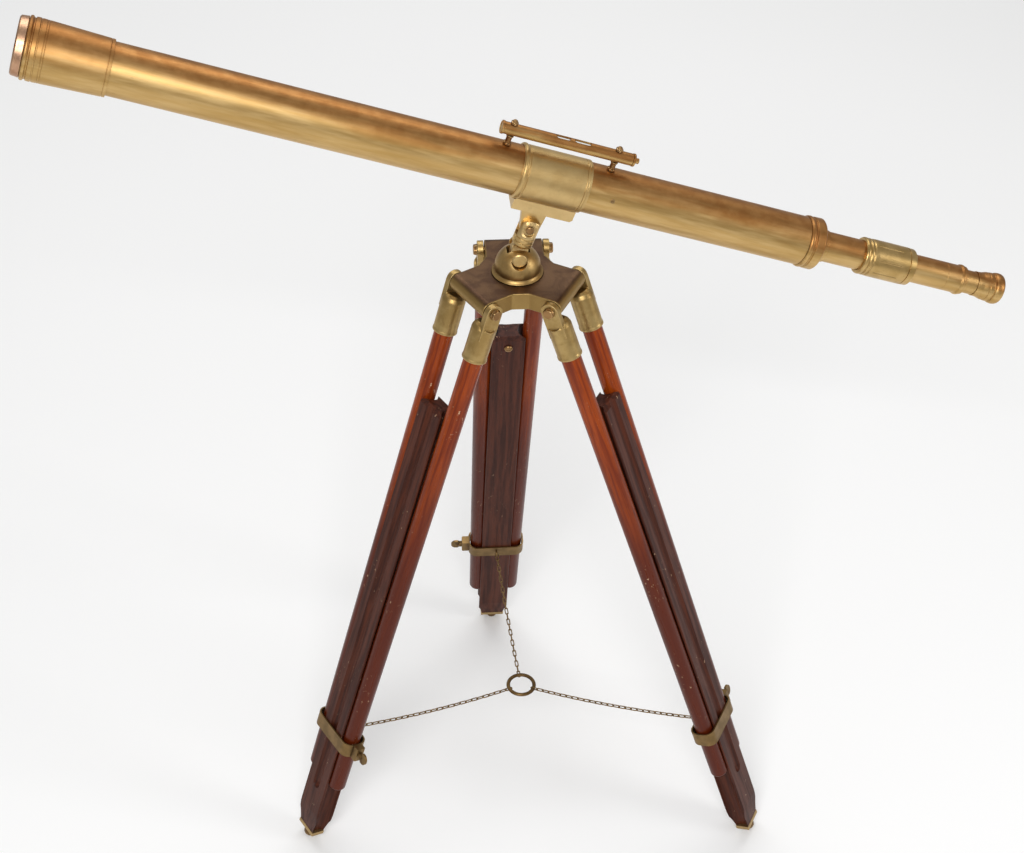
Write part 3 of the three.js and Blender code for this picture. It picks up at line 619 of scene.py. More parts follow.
def lens_cap():
    profile = [
        (CAP_FRONT, 0), (CAP_FRONT, 30.5), (CAP_FRONT + 0.2, 33.2), (CAP_FRONT + 1.8, 35.2),
        (HOOD_FRONT - GAP - 2.2, 35.9), (HOOD_FRONT - GAP - 0.5, 36.2), (HOOD_FRONT - GAP, 35),
        (HOOD_FRONT - GAP, 33.6), (HOOD_FRONT + 20, 33.6), (HOOD_FRONT + 20, 31.6), (CAP_FRONT + 4, 31.6),
        (CAP_FRONT + 4, 0),
    ]

    def dented(along_mm, angle, radius):
        if radius < 33 or along_mm > HOOD_FRONT - GAP:
            return radius
        return radius - 0.35 * (1 + math.sin(3 * angle + 0.7)) - 0.25 * (1 + math.sin(7 * angle + 2))

    turned_piece("lens_cap_turned", profile, SCOPE, "cap", COPPER, "copper_cap", "lens_cap", shape=dented)


def dew_hood():
    rim = [(HOOD_FRONT, 34), (HOOD_FRONT, 36), *bead(HOOD_FRONT + 0.2, HOOD_FRONT + 4.6, 36.2, 1.4)]
    neck = [
        (HOOD_FRONT + 5.6, 35.4), (HOOD_FRONT + 6.6, 35.4), (HOOD_FRONT + 7.4, 36.9),
        (HOOD_FRONT + 12, 37.2),
    ]
    body = [(HOOD_FRONT + 13, 36.4), (HOOD_FRONT + 13.8, 36.4), (HOOD_FRONT + 14.4, 36.9)]
    slope = (36.9 - 34.2) / (HOOD_REAR - 4 - HOOD_FRONT - 14.4)
    fine = []
    for at in (20, 22.5):
        x = HOOD_FRONT + at
        fine += groove(x, 36.9 - slope * (x - HOOD_FRONT - 14.4), 0.9, 0.4)
    tail = [*groove(HOOD_REAR - 4, 34.2, 1, 0.5), (HOOD_REAR, 34.0), (HOOD_REAR, TUBE_RADIUS + GAP)]
    inside = [
        (TUBE_FRONT - GAP, TUBE_RADIUS + GAP), (TUBE_FRONT - GAP, 28), (TUBE_FRONT - 2, 28),
        (TUBE_FRONT - 2, 29.2), (TUBE_FRONT - 10, 29.2), (TUBE_FRONT - 11, 34),
    ]
    profile = rim + neck + body + fine + tail + inside
    turned_piece(
        "dew_hood_turned", profile, SCOPE, "telescope", HOOD_BRASS, "satin_brass", "dew_hood", soft=0.25,
    )


def lens_piece(name, front, back, radius, bulge, body, node):
    def face(at, towards):
        steps = [k / 8 for k in range(9)]
        return [(at + towards * bulge * (1 - t * t), radius * t) for t in steps]

    profile = face(front + bulge, -1) + face(back - bulge, 1)[::-1]
    turned_piece(name, profile, SCOPE, body, LENS, "glass", node, facets=64, soft=0)


def main_tube():
    profile = [
        (TUBE_FRONT, TUBE_BORE), (TUBE_FRONT, TUBE_RADIUS), (TUBE_REAR - GAP, TUBE_RADIUS),
        (TUBE_REAR - GAP, TUBE_BORE),
    ]
    turned_piece(
        "main_tube_drawn", profile, SCOPE, "telescope", TUBE_BRASS, "aged_brass", "main_tube", facets=128,
    )
    # A flush screw that holds the sleeve's rear end.
    out, turn = TUBE_RADIUS - 0.9, math.radians(180 - 13)
    seat = SCOPE @ Matrix.Translation((0.083, 0, 0)) @ Matrix.Rotation(turn, 4, "X")
    slot_cut = slab(-3.4, 3.4, out, out + 3, -0.35, 0.35)
    head = cylinder(out, out + 1.5, 2.9, "Y")
    screw = machined(
        "tube_screw", seat, [head], [shifted(slot_cut, Matrix.Translation((0, 1.0, 0)))], bevel=0.2,
    )
    finish_piece(screw, "telescope", SCREW_BRASS, "aged_brass")


def saddle_sleeve():
    r = SLEEVE_RADIUS
    profile = [
        (SLEEVE_FRONT, TUBE_RADIUS + GAP), (SLEEVE_FRONT, r - 0.6),
        *bead(SLEEVE_FRONT + 0.6, SLEEVE_FRONT + 6.2, r - 0.6, 1.8), (SLEEVE_FRONT + 7.2, r - 0.9),
        (SLEEVE_FRONT + 8.2, r - 0.9), (SLEEVE_FRONT + 8.8, r), *groove(SLEEVE_REAR - 6.5, r, 1.1, 0.7),
        *groove(SLEEVE_REAR - 3.4, r, 0.8, 0.4), (SLEEVE_REAR, r - 0.2), (SLEEVE_REAR, TUBE_RADIUS + GAP),
    ]
    turned_piece(
        "saddle_sleeve_turned", profile, SCOPE, "telescope", BRIGHT_BRASS, "satin_brass", "saddle_sleeve",
        facets=128, soft=0.25,
    )


def tail_flange():
    profile = [
        (TUBE_REAR - 18, DRAW_RADIUS + GAP), (TUBE_REAR - 18, TUBE_BORE - GAP),
        (TUBE_REAR, TUBE_BORE - GAP), (TUBE_REAR, 32.4),
        *bead(TUBE_REAR + 0.3, TUBE_REAR + 6.5, 32.4, 1.5), (TUBE_REAR + 7.5, 32.0),
        (TUBE_REAR + 8.5, 32.0), (TUBE_REAR + 9.4, 33.6), (FLANGE_REAR - 2, 33.9), (FLANGE_REAR, 32.2),
        (FLANGE_REAR, 24.0), (FLANGE_REAR - 0.8, 23.2), (FLANGE_REAR - 0.8, 21.4),
        (COLLAR_REAR - 3, 21.4), (COLLAR_REAR - 2.4, 20.9), (COLLAR_REAR, 20.9),
        (COLLAR_REAR, DRAW_RADIUS + GAP),
    ]
    turned_piece(
        "tail_flange_turned", profile, SCOPE, "telescope", SLIM_BRASS, "aged_brass", "tail_flange",
        soft=0.35,
    )


def draw_tubes():
    draw = [
        (DRAW_FRONT, DRAW_BORE), (DRAW_FRONT, TUBE_BORE - GAP), (DRAW_FRONT + 8, TUBE_BORE - GAP),
        (DRAW_FRONT + 8, DRAW_RADIUS), (GRIP_FRONT + 30, DRAW_RADIUS), (GRIP_FRONT + 30, DRAW_BORE),
    ]
    turned_piece("draw_tube_drawn", draw, SCOPE, "draw", SLIM_BRASS, "aged_brass", "draw_tube")
    second = [
        (380, SECOND_BORE), (380, SECOND_RADIUS), *groove(SECOND_REAR - 30, SECOND_RADIUS, 0.8, 0.3),
        (SECOND_REAR - 9.6, SECOND_RADIUS), *bead(SECOND_REAR - 8.6, SECOND_REAR - 3, 19, 1.2),
        (SECOND_REAR - 2, 19.2), (SECOND_REAR, 18.7), (SECOND_REAR, SECOND_BORE),
    ]
    turned_piece(
        "second_draw_drawn", second, SCOPE, "second_draw", SLIM_BRASS, "aged_brass", "second_draw_tube",
        soft=0.3,
    )


def grip_collar():
    """The focusing grip: two rings, a barrel with engraved lines along it, and an end ring."""
    r = GRIP_RADIUS
    line_start, line_end, lines = GRIP_FRONT + 18, GRIP_FRONT + 52, 8
    stations = [line_start + (line_end - line_start) * k / 24 for k in range(25)]
    profile = [
        (GRIP_FRONT, DRAW_RADIUS + GAP), (GRIP_FRONT, 22.6),
        *bead(GRIP_FRONT + 0.4, GRIP_FRONT + 6.4, r - 1.7, 1.5),
        *bead(GRIP_FRONT + 7, GRIP_FRONT + 11.4, r - 1.5, 1.2), (GRIP_FRONT + 12.6, r - 1.1),
        (GRIP_FRONT + 13.4, r - 0.3), *[(x, r) for x in stations], (GRIP_REAR - 11.2, r),
        *groove(GRIP_REAR - 9.8, r, 1.8, 1.3), (GRIP_REAR - 8.6, r - 0.2), (GRIP_REAR - 1, r - 0.5),
        (GRIP_REAR, 23.2), (GRIP_REAR, DRAW_BORE), (GRIP_FRONT + 30 + GAP, DRAW_BORE),
        (GRIP_FRONT + 30 + GAP, DRAW_RADIUS + GAP),
    ]

    def engraved(along_mm, angle, radius):
        if radius < r - 0.05 or not line_start <= along_mm <= line_end:
            return radius
        nearest = (math.degrees(angle) - 197.3 + 180 / lines) % (360 / lines) - 180 / lines
        return radius - 0.75 * math.exp(-((nearest / 1.35) ** 2))

    turned_piece(
        "grip_collar_turned", profile, SCOPE, "draw", SATIN_BRASS, "aged_brass", "grip_collar",
        facets=360, soft=0.2, shape=engraved,
    )


def eyepiece():
    spigot = SECOND_BORE - GAP
    body = [
        (SECOND_REAR - 40, 14), (SECOND_REAR - 40, spigot), (SECOND_REAR + GAP, spigot),
        (SECOND_REAR + GAP, 15.5), (EYE_TUBE_REAR, 15.5), (EYE_TUBE_REAR, 14),
    ]
    turned_piece(
        "eyepiece_tube_turned", body, SCOPE, "second_draw", SLIM_BRASS, "aged_brass", "eyepiece_tube",
        soft=0.3,
    )
    at = EYE_TUBE_REAR
    cup = [
        (at + GAP, 9.6), (at + GAP, 16.4), (at + 5, 16.5), (at + 9, 16.9), (at + 13, 18.0),
        (at + 15.5, 18.6), *groove(at + 17.4, 18.7, 1.4, 0.7), (at + 19, 18.9), (at + 22, 19.2),
        *groove(at + 24, 19.3, 1.2, 0.6), *bead(at + 26, EYECUP_REAR - 0.6, 18.2, 2.7, 10),
        (EYECUP_REAR, 17.4), (EYECUP_REAR - 1.2, 15.4), (at + 24, 12), (at + 16, 9.6),
    ]
    turned_piece("eyecup_turned", cup, SCOPE, "second_draw", SLIM_BRASS, "aged_brass", "eyecup", soft=0.3)


def saddle():
    """A flat bar under the sleeve, hooked up round the tube in front, with a tongue below."""
    pivot_at = -SCOPE_SHIFT
    bed_outline = [
        (-31, -46), (-31, -30), *arc(-24, -24, 7, 180, 90, 6), (-17, -20), (50, -24), (50, -43),
        (47, -46),
    ]
    bed = prism(bed_outline, -16, 16, "XZ")
    tongue_outline = [
        (pivot_at - 20, -45), *arc(pivot_at, -SCOPE_OFFSET, 12.5, 180, 360), (pivot_at + 15, -45),
    ]
    tongue = prism(tongue_outline, -5.7, 5.7, "XZ")
    sleeve_room = [
        (-60, 0), (-60, TUBE_RADIUS + GAP), (SLEEVE_FRONT - GAP, TUBE_RADIUS + GAP),
        (SLEEVE_FRONT - GAP, 35.7), (SLEEVE_FRONT + 9, 35.7), (SLEEVE_FRONT + 9, 34.3), (60, 34.3),
        (60, 0),
    ]
    room = revolve(sleeve_room, 96, "X", 0)
    hole = cylinder(-20, 20, 3.8, "Y", (pivot_at, 0, -SCOPE_OFFSET))
    piece = machined("saddle_cast", SCOPE, [bed, tongue], [room, hole], bevel=0.6)
    finish_piece(piece, "telescope", SATIN_BRASS, "aged_brass", "saddle")


# ---------------------------------------------------------------- spirit level

LEVEL_HEIGHT, LEVEL_RADIUS, LEVEL_BORE = 53, 7.7, 5.6
LEVEL_SHIFT = -15  # along the telescope, to the zero of the level's own stations
LEVEL_FRONT, LEVEL_REAR = -58, 110
LEVEL_POSTS = {"front": -47, "rear": 90}


def spirit_level():
    level = SCOPE @ Matrix.Translation((LEVEL_SHIFT * MM, 0, LEVEL_HEIGHT * MM))
    barrel = revolve(
        [(LEVEL_FRONT, 0), (LEVEL_FRONT, LEVEL_RADIUS), (LEVEL_REAR, LEVEL_RADIUS), (LEVEL_REAR, 0)], 72,
        "X", 0.3,
    )
    bore = cylinder(LEVEL_FRONT + 26, LEVEL_REAR - 26, LEVEL_BORE, "X")
    windows = []
    for start, end in ((7, 27), (31, 54)):
        window = [*arc(start + 4, 0, 4, 90, 270, 10), *arc(end - 4, 0, 4, -90, 90, 10)]
        windows.append(prism(window, 2, 12))
    holes = [cylinder(-12, 12, 2.3, "Z", (x, 0, 0)) for x in LEVEL_POSTS.values()]
    tube = machined("level_tube_drawn", level, [barrel], [bore, *windows, *holes], bevel=0.3)
    finish_piece(tube, "telescope", LEVEL_BRASS, "aged_brass", "level_tube")
    vial = [(-8, 0), (-8, 4.8), (-7, 5.2), (67, 5.2), (68, 4.8), (68, 0)]
    turned_piece("level_vial_glass", vial, level, "telescope", LIQUID, "glass", "level_vial", facets=48)
    for end, profile in level_caps().items():
        turned_piece(
            f"level_cap_{end}_turned", profile, level, "telescope", LEVEL_BRASS, "aged_brass",
            f"level_cap_{end}", facets=64, soft=0.25,
        )
    for end, x in LEVEL_POSTS.items():
        level_post(end, level @ Matrix.Translation((x * MM, 0, 0)))


def level_caps():
    """Profiles of the level's dished front cap and of its rear cap with a knob."""
    front = [
        (LEVEL_FRONT - GAP, 0), (LEVEL_FRONT - GAP, 8.4), (LEVEL_FRONT - 2.8, 8.4),
        (LEVEL_FRONT - 3.4, 7.9), (LEVEL_FRONT - 3.4, 6.4), (LEVEL_FRONT - 2.6, 6.0),
        (LEVEL_FRONT - 2.6, 0),
    ]
    rear = [
        (LEVEL_REAR + GAP, 0), (LEVEL_REAR + GAP, 8.2), (LEVEL_REAR + 2.9, 8.2), (LEVEL_REAR + 3.4, 7.6),
        (LEVEL_REAR + 3.4, 3.2), (LEVEL_REAR + 5, 3.4), (LEVEL_REAR + 8.4, 3.6), (LEVEL_REAR + 9, 3),
        (LEVEL_REAR + 9, 0),
    ]
    return {"front": front, "rear": rear}


def level_post(end, where):
    """A turned post on the tube, through the level's end, with its six-sided nut on top."""
    low, under, over = TUBE_RADIUS + GAP + 0.1 - LEVEL_HEIGHT, -LEVEL_RADIUS - GAP, LEVEL_RADIUS + GAP
    stem = [
        (low, 0), (low, 5.2), (low + 2.6, 5.4), (low + 3.8, 3.6), (under - 3, 3.6), (under - 1.6, 4.8),
        (under, 4.8), (under, 2), (over, 2), (over, 4.9), (over + 2.4, 4.9), (over + 3, 3.6),
        (over + 3.4, 3.2), (over + 4.6, 3.0), (over + 5.4, 1.9), (over + 5.5, 0),
    ]

    def nut(along_mm, angle, radius):
        plain = radius < 4.7 or along_mm < LEVEL_RADIUS
        return radius if plain else six_sided(radius, angle, 4.35)

    turned_piece(
        f"level_post_{end}_turned", stem, where, "telescope", SCREW_BRASS, "aged_brass",
        f"level_post_{end}", facets=48, about="Z", soft=0.25, shape=nut,
    )


# ---------------------------------------------------------------- pillar, dome and casting

PILLAR_RADIUS, PILLAR_LENGTH = 14, 42
TILT_PIVOT = 43  # height of the lower pivot above the hinges
DOME_BASE = 12.8


def double_headed(seat, shank, head, height):
    """Profile of a pin with a rounded head at each end."""
    end = -seat - height
    half = [(end, 0), (end, head - 1.6), (end + 1.2, head), (-seat, head), (-seat, shank)]
    return half + [(-x, r) for x, r in reversed(half)]


def pillar():
    """A turned pillar with a flat tongue below and a rounded clevis above, and the clevis screw."""
    crown_radius, column_radius = PILLAR_RADIUS, PILLAR_RADIUS - 0.1
    top = PILLAR_LENGTH + crown_radius
    column = [
        (12, 0), (12, 10.5), (13.5, 12.6), (16, column_radius), (19.6, column_radius),
        *groove(20.6, column_radius, 1.4, 0.8), (22.4, column_radius),
        *groove(26.6, column_radius, 1.4, 0.8), (28.3, column_radius), (top + 0.5, column_radius),
        (top + 0.5, 0),
    ]
    crown = [
        (-20, 0), (20, 0), (20, PILLAR_LENGTH), *arc(0, PILLAR_LENGTH, crown_radius, 0, 180),
        (-20, PILLAR_LENGTH),
    ]
    body = clipped("pillar_column", revolve(column, 72, "Z", 0.3), prism(crown, -20, 20, "XZ"))
    foot = prism([*arc(0, 0, 11, 180, 360), (9.5, 15), (-9.5, 15)], -7, 7, "XZ")
    upper_pivot = (0, 0, PILLAR_LENGTH)
    cuts = [
        slab(-20, 20, -6.0, 6.0, PILLAR_LENGTH - 14, top + 2), cylinder(-20, 20, 4.3, "Y"),
        cylinder(-20, 20, 3.8, "Y", upper_pivot), cylinder(-20, -11, 9, "Y", upper_pivot),
        cylinder(11, 20, 9, "Y", upper_pivot),
    ]
    piece = machined("pillar_turned", PILLAR, [body, foot], cuts, bevel=0.35)
    finish_piece(piece, "pillar", SATIN_BRASS, "satin_brass", "pillar")
    upper = PILLAR @ Matrix.Translation((0, 0, PILLAR_LENGTH * MM))
    turned_piece(
        "altitude_screw_turned", double_headed(11.3, 3.5, 5.6, 3.0), upper, "pillar", SCREW_BRASS,
        "satin_brass", "altitude_screw", facets=48, about="Y", soft=1.2,
    )


def dome():
    """A round cap with a slim lip, slotted for the pillar's tongue, with the tilt pin's two seats."""
    base, radius = DOME_BASE - TILT_PIVOT, 30
    profile = [
        (base, 0), (base, 33.2), (base + 0.8, 33.3), (base + 1.5, 32.6), (base + 2.4, 31.4),
        (base + 4, 30.4),
    ]
    profile.append((base + 5, radius))
    centre, steps = base + 8, 24
    for step in range(steps + 1):
        angle = math.radians(-6 + 96 * step / steps)
        profile.append(
            (centre + radius * math.sin(angle), radius * math.cos(angle) if step < steps else 0),
        )
    cuts = [
        slab(-15, 15, -7.3, 7.3, -12, 40), cylinder(-40, 40, 4.3, "Y"), cylinder(-40, -19.5, 10.8, "Y"),
        cylinder(19.5, 40, 10.8, "Y"),
    ]
    piece = machined("swivel_dome_turned", DOME, [revolve(profile, 128, "Z", 0)], cuts, bevel=0.5)
    finish_piece(piece, "swivel", DOME_BRASS, "satin_brass", "swivel_dome")
    turned_piece(
        "tilt_pin_turned", double_headed(19.8, 4, 9.8, 3.0), DOME, "swivel", BRIGHT_BRASS, "satin_brass",
        "tilt_pin", facets=64, about="Y", soft=0.5,
    )


def swivel_stud():
    """The stud that the dome turns on, with its six-sided nut under the casting."""
    seat = -12.8
    profile = [
        (-29.8, 0), (-29.8, 5), (-28.8, 6), (-25.8, 6), (-25.8, 12.6), (-24.2, 14.6), (-13.4, 14.6),
        (seat, 14), (seat, 6), (12.5, 6), (12.5, 0),
    ]

    def nut(along_mm, angle, radius):
        plain = radius < 12 or along_mm > -12
        return radius if plain else six_sided(radius, angle, 12.9)

    turned_piece(
        "swivel_stud_turned", profile, HEAD, "swivel", BRONZE, "bronze", "swivel_stud", facets=72,
        about="Z", shape=nut,
    )


HINGE_RADIUS = 67
LOBE_HALF_WIDTH, LOBE_THICKNESS, WEB_RADIUS = 38, 25, 50


def casting_outline():
    """Top view: three square-ended lobes with a flat between each two."""
    points = []
    flat_half = (WEB_RADIUS * math.sin(math.pi / 3) - LOBE_HALF_WIDTH) / math.cos(math.pi / 3)
    for bearing in (90, 210, 330):
        turn = Matrix.Rotation(math.radians(bearing), 2)
        points += [turn @ Vector((HINGE_RADIUS, side)) for side in (-LOBE_HALF_WIDTH, LOBE_HALF_WIDTH)]
        between = Matrix.Rotation(math.radians(bearing + 60), 2)
        points += [between @ Vector((WEB_RADIUS, side)) for side in (-flat_half, flat_half)]
    return points


def head_casting():
    half = LOBE_THICKNESS / 2
    add = [prism(casting_outline(), -half, half)]
    cuts = [cylinder(-30, 30, 6.3, "Z"), cylinder(half - 1.2, half + 5, 33.6, "Z", facets=128)]
    for bearing in (90, 210, 330):
        turn = Matrix.Rotation(
            math.radians(bearing - 90), 4, "Z",
        ) @ Matrix.Translation((0, HINGE_RADIUS, 0))
        add.append(shifted(cylinder(-LOBE_HALF_WIDTH, LOBE_HALF_WIDTH, half, "X"), turn))
        cuts.append(shifted(cylinder(-60, 60, 4.3, "X"), turn))
    piece = cast("head_casting_cast", HEAD, add, cuts, voxel=0.9, smoothing=5)
    finish_piece(piece, "head", BRONZE_CAST, "bronze", "head_casting")


# ---------------------------------------------------------------- legs

ROD_RADIUS, ROD_END = 13.4, 832
SOCKET_RADIUS, SOCKET_TOP, SOCKET_END, SOCKET_WEB = 16.7, 17, 73, 9
EAR_INNER, EAR_OUTER = 39.3, 47.5
BLADE_TOP, BLADE_WIDTH, BLADE_DEPTH = 168, 47, 32
STOP_SCREW_DROP = 20  # below the blade's top
FOOT_ROOM = 21.2  # from the blade's end to the floor, along the leg
STRAP_HEIGHT, STRAP_THICKNESS = 22, 2.2
LUG_LENGTH, EYE_RADIUS, EYE_WIRE = 13, 3.6, 1.3
STRAP_HALF_Y = BLADE_DEPTH / 2 + 0.4
EYE_OUT = STRAP_HALF_Y + STRAP_THICKNESS + EYE_RADIUS
NUB_RADIUS, NUB_FLAT_RADIUS = 9, 4


def strap_at(leg):
    """How far down the leg its strap sits, in millimetres."""
    return (pivot(f"thumb_turn_{leg}") - pivot(f"leg_fold_{leg}")).length / MM


def strap_half_x(leg):
    return ROD_SPREAD - strap_at(leg) * math.tan(ROD_LEAN) + ROD_RADIUS + 0.5


def leg_length(leg):
    """From the hinge to the floor, along the leg."""
    return pivot(f"leg_fold_{leg}").z / MM / -axis(f"leg_slide_{leg}").z


def blade_end(leg):
    return leg_length(leg) - FOOT_ROOM


def socket_mesh(name, outward):
    inner, outer = sorted(((EAR_INNER - ROD_SPREAD) * outward, (EAR_OUTER - ROD_SPREAD) * outward))
    cup = [
        (-SOCKET_END, 0), (-SOCKET_END, SOCKET_RADIUS), (-SOCKET_END + 3, SOCKET_RADIUS),
        (-SOCKET_END + 4.5, SOCKET_RADIUS - 0.6), (-SOCKET_TOP - 9, SOCKET_RADIUS - 0.6),
        (-SOCKET_TOP - 4, SOCKET_RADIUS - 2.6), (-SOCKET_TOP, SOCKET_RADIUS - 6.5), (-SOCKET_TOP, 0),
    ]
    ear = prism(
        [(-12, -SOCKET_TOP - 22), (12, -SOCKET_TOP - 22), *arc(0, 0, 12, 0, 180, 24)], inner, outer, "YZ",
    )
    bore = cylinder(-SOCKET_END - 1, -SOCKET_TOP - SOCKET_WEB, ROD_RADIUS + GAP, "Z")
    hole = cylinder(-30, 30, 4.6, "X")
    flat_face = EAR_OUTER - ROD_SPREAD
    scoop_x = sorted((flat_face * outward, 30 * outward))
    scoop = slab(scoop_x[0], scoop_x[1], -14, 14, -SOCKET_TOP - 4, 14)
    hollow = cylinder(scoop_x[0], scoop_x[1], 13.2, "X", (0, 0, -SOCKET_TOP + 4.5))
    return cast(
        name, Matrix.Identity(4), [revolve(cup, 64, "Z", 0.8), ear], [bore, hole, scoop, hollow],
        voxel=0.6, smoothing=3,
    )


def hinge_bolt(leg):
    seat = EAR_OUTER + GAP

    def flats(along_mm, angle, radius):
        plain = radius < 7 or abs(along_mm) < seat + 1.6
        return radius if plain else six_sided(radius, angle, 6.2)

    turned_piece(
        f"hinge_bolt_{leg}_turned", double_headed(seat, 4, 7.6, 5), leg_frame(leg), "head", SCREW_BRASS,
        "satin_brass", f"hinge_bolt_{leg}", facets=72, soft=0.5, shape=flats,
    )


def blade_section():
    """A rectangle with a round groove in each side for the rods, its corners broken."""
    spread = ROD_SPREAD - ROD_END * math.tan(ROD_LEAN)
    radius = ROD_RADIUS + 0.4
    x, y, broken = BLADE_WIDTH / 2, BLADE_DEPTH / 2, 1.2
    lip = math.degrees(math.asin((spread - x) / radius))
    right = arc(spread, 0, radius, 270 - lip, 90 + lip, 20)
    left = arc(-spread, 0, radius, 90 - lip, -90 + lip, 20)
    return [
        (-x + broken, -y), (x - broken, -y), (x, -y + broken), *right, (x, y - broken), (x - broken, y),
        (-x + broken, y), (-x, y - broken), *left, (-x, -y + broken),
    ]


def blade_mesh(leg):
    y, end = BLADE_DEPTH / 2, blade_end(leg)
    side = [
        (-y + 5, -BLADE_TOP), (-y, -BLADE_TOP - 5), (-y, -end + 42), (-10, -end), (10, -end),
        (y, -end + 42), (y, -BLADE_TOP - 5), (y - 5, -BLADE_TOP),
    ]
    bar = clipped(
        "blade_bar", prism(blade_section(), -end, -BLADE_TOP),
        prism(side, -BLADE_WIDTH, BLADE_WIDTH, "YZ"),
    )
    flute_end, flute_radius, middle = -ROD_END - 14, 9, (0, y + 4.5, 0)
    flute = cylinder(flute_end, -BLADE_TOP + 10, flute_radius, "Z", middle)
    rounding = [math.radians(15 * k) for k in range(1, 6)]
    tip = [(flute_end - flute_radius, 0)]
    tip += [(flute_end - flute_radius * math.cos(a), flute_radius * math.sin(a)) for a in rounding]
    tip += [(flute_end + 0.5, flute_radius), (flute_end + 0.5, 0)]
    flute_tip = shifted(revolve(tip, 48, "Z", 0), Matrix.Translation(middle))
    hole = cylinder(-y - 1, -y + 12, 2.8, "Y", (0, 0, -BLADE_TOP - STOP_SCREW_DROP))
    return machined(f"leg_blade_{leg}_routed", leg_frame(leg), [bar], [flute, flute_tip, hole], bevel=0.7)


def stop_screw(leg):
    """A slotted round-headed screw near the blade's top."""
    face, shank = -BLADE_DEPTH / 2 - GAP, 2.5
    profile = [
        (face - 3.2, 0), (face - 3.1, 3), (face - 2.4, 5), (face - 1, 5.9), (face, 6), (face, shank),
        (face + 11, shank), (face + 11, 0),
    ]
    where = leg_frame(leg) @ Matrix.Translation((0, 0, (-BLADE_TOP - STOP_SCREW_DROP) * MM))
    slot_cut = slab(-7, 7, face - 5, face - 2, -0.6, 0.6)
    screw = machined(
        f"stop_screw_{leg}_slotted", where, [revolve(profile, 48, "Y", 0.3)], [slot_cut], bevel=0.25,
    )
    finish_piece(screw, f"lower_leg_{leg}", SCREW_BRASS, "satin_brass", f"stop_screw_{leg}")


def rounded_rectangle(half_x, half_y, radius):
    corners = ((1, 1, 0), (-1, 1, 90), (-1, -1, 180), (1, -1, 270))
    points = []
    for sx, sy, start in corners:
        points += arc(sx * (half_x - radius), sy * (half_y - radius), radius, start, start + 90, 10)
    return points


def strap_mesh(leg):
    at, half_x = strap_at(leg), strap_half_x(leg)
    low = -at - STRAP_HEIGHT / 2
    high = low + STRAP_HEIGHT
    band = prism(
        rounded_rectangle(half_x + STRAP_THICKNESS, STRAP_HALF_Y + STRAP_THICKNESS, 13.2), low, high,
    )
    inside = prism(rounded_rectangle(half_x, STRAP_HALF_Y, 11), low - 1, high + 1)
    lug_end = -half_x - LUG_LENGTH
    root = -half_x - 1
    lug_outline = [
        (lug_end, -6), (lug_end + 1.5, -7), (root, -7), (root, 7), (lug_end + 1.5, 7), (lug_end, 6),
    ]
    lug = prism(lug_outline, low, high)
    bore = cylinder(lug_end - 1, 0, 3.3, "X", (0, 0, -at))
    return machined(f"strap_{leg}_band", leg_frame(leg), [band, lug], [inside, bore], bevel=0.5)


def wire_faces(count, sides):
    """Faces of a closed wire of count rings, each with that many points."""
    faces = []
    for i in range(count):
        for k in range(sides):
            a, b, n = i * sides, (i + 1) % count * sides, (k + 1) % sides
            faces.append([a + k, a + n, b + n, b + k])
    return faces


def ring_points(radius, wire, facets=40, sides=14, flat=1.0):
    """A ring in the XY plane; flat narrows its section across the plane."""
    points = []
    for i in range(facets):
        turn = 2 * math.pi * i / facets
        for k in range(sides):
            angle = 2 * math.pi * k / sides
            r = radius + wire * math.cos(angle)
            points.append((r * math.cos(turn), r * math.sin(turn), wire * flat * math.sin(angle)))
    return points, wire_faces(facets, sides)


def strap(leg):
    """The strap round the rods and the blade, with the eye that the chain hangs from."""
    finish_piece(strap_mesh(leg), f"leg_{leg}", BRONZE, "bronze", f"strap_{leg}")
    turn = Matrix.Translation((0, -EYE_OUT, -strap_at(leg))) @ Matrix.Rotation(math.pi / 2, 4, "Y")
    loop = shifted(ring_points(EYE_RADIUS, EYE_WIRE, 32, 10), turn)
    eye = new_object(f"strap_{leg}_eye", mesh_of("eye", *loop), leg_frame(leg))
    outward_faces(eye.data)
    finish_piece(eye, f"leg_{leg}", BRONZE, "bronze")


def thumb_screw(leg):
    """A screw through the strap's lug, with a collar and a flat wing on its end."""
    tip, collar = -strap_half_x(leg) + 0.15, -strap_half_x(leg) - LUG_LENGTH - GAP
    stem = [(tip, 0), (tip, 2.6), (tip - 0.8, 3)]
    pitch, turn = 1.2, tip - 1.6
    while turn - pitch > collar:
        stem += [(turn, 3), (turn - pitch / 2, 2.55)]
        turn -= pitch
    stem += [
        (collar, 3), (collar, 4.8), (collar - 3.8, 4.8), (collar - 5, 3.4), (collar - 6, 3),
        (collar - 6, 0),
    ]
    outline = [(-5.6, -4), (-2, -8.4), *arc(0, 0, 9, -70, 70, 16), (-2, 8.4), (-5.6, 4)]
    leaf = prism([(collar - 8 - u, v) for u, v in outline], -1.6, 1.6, "XY")
    leaf = shifted(leaf, Matrix.Rotation(math.pi / 2, 4, "X"))
    where = leg_frame(leg) @ Matrix.Translation((0, 0, -strap_at(leg) * MM))
    piece = machined(f"thumb_screw_{leg}_winged", where, [revolve(stem, 40, "X", 0.15), leaf], bevel=0.6)
    finish_piece(piece, f"thumb_screw_{leg}", BRONZE, "bronze", f"thumb_screw_{leg}")


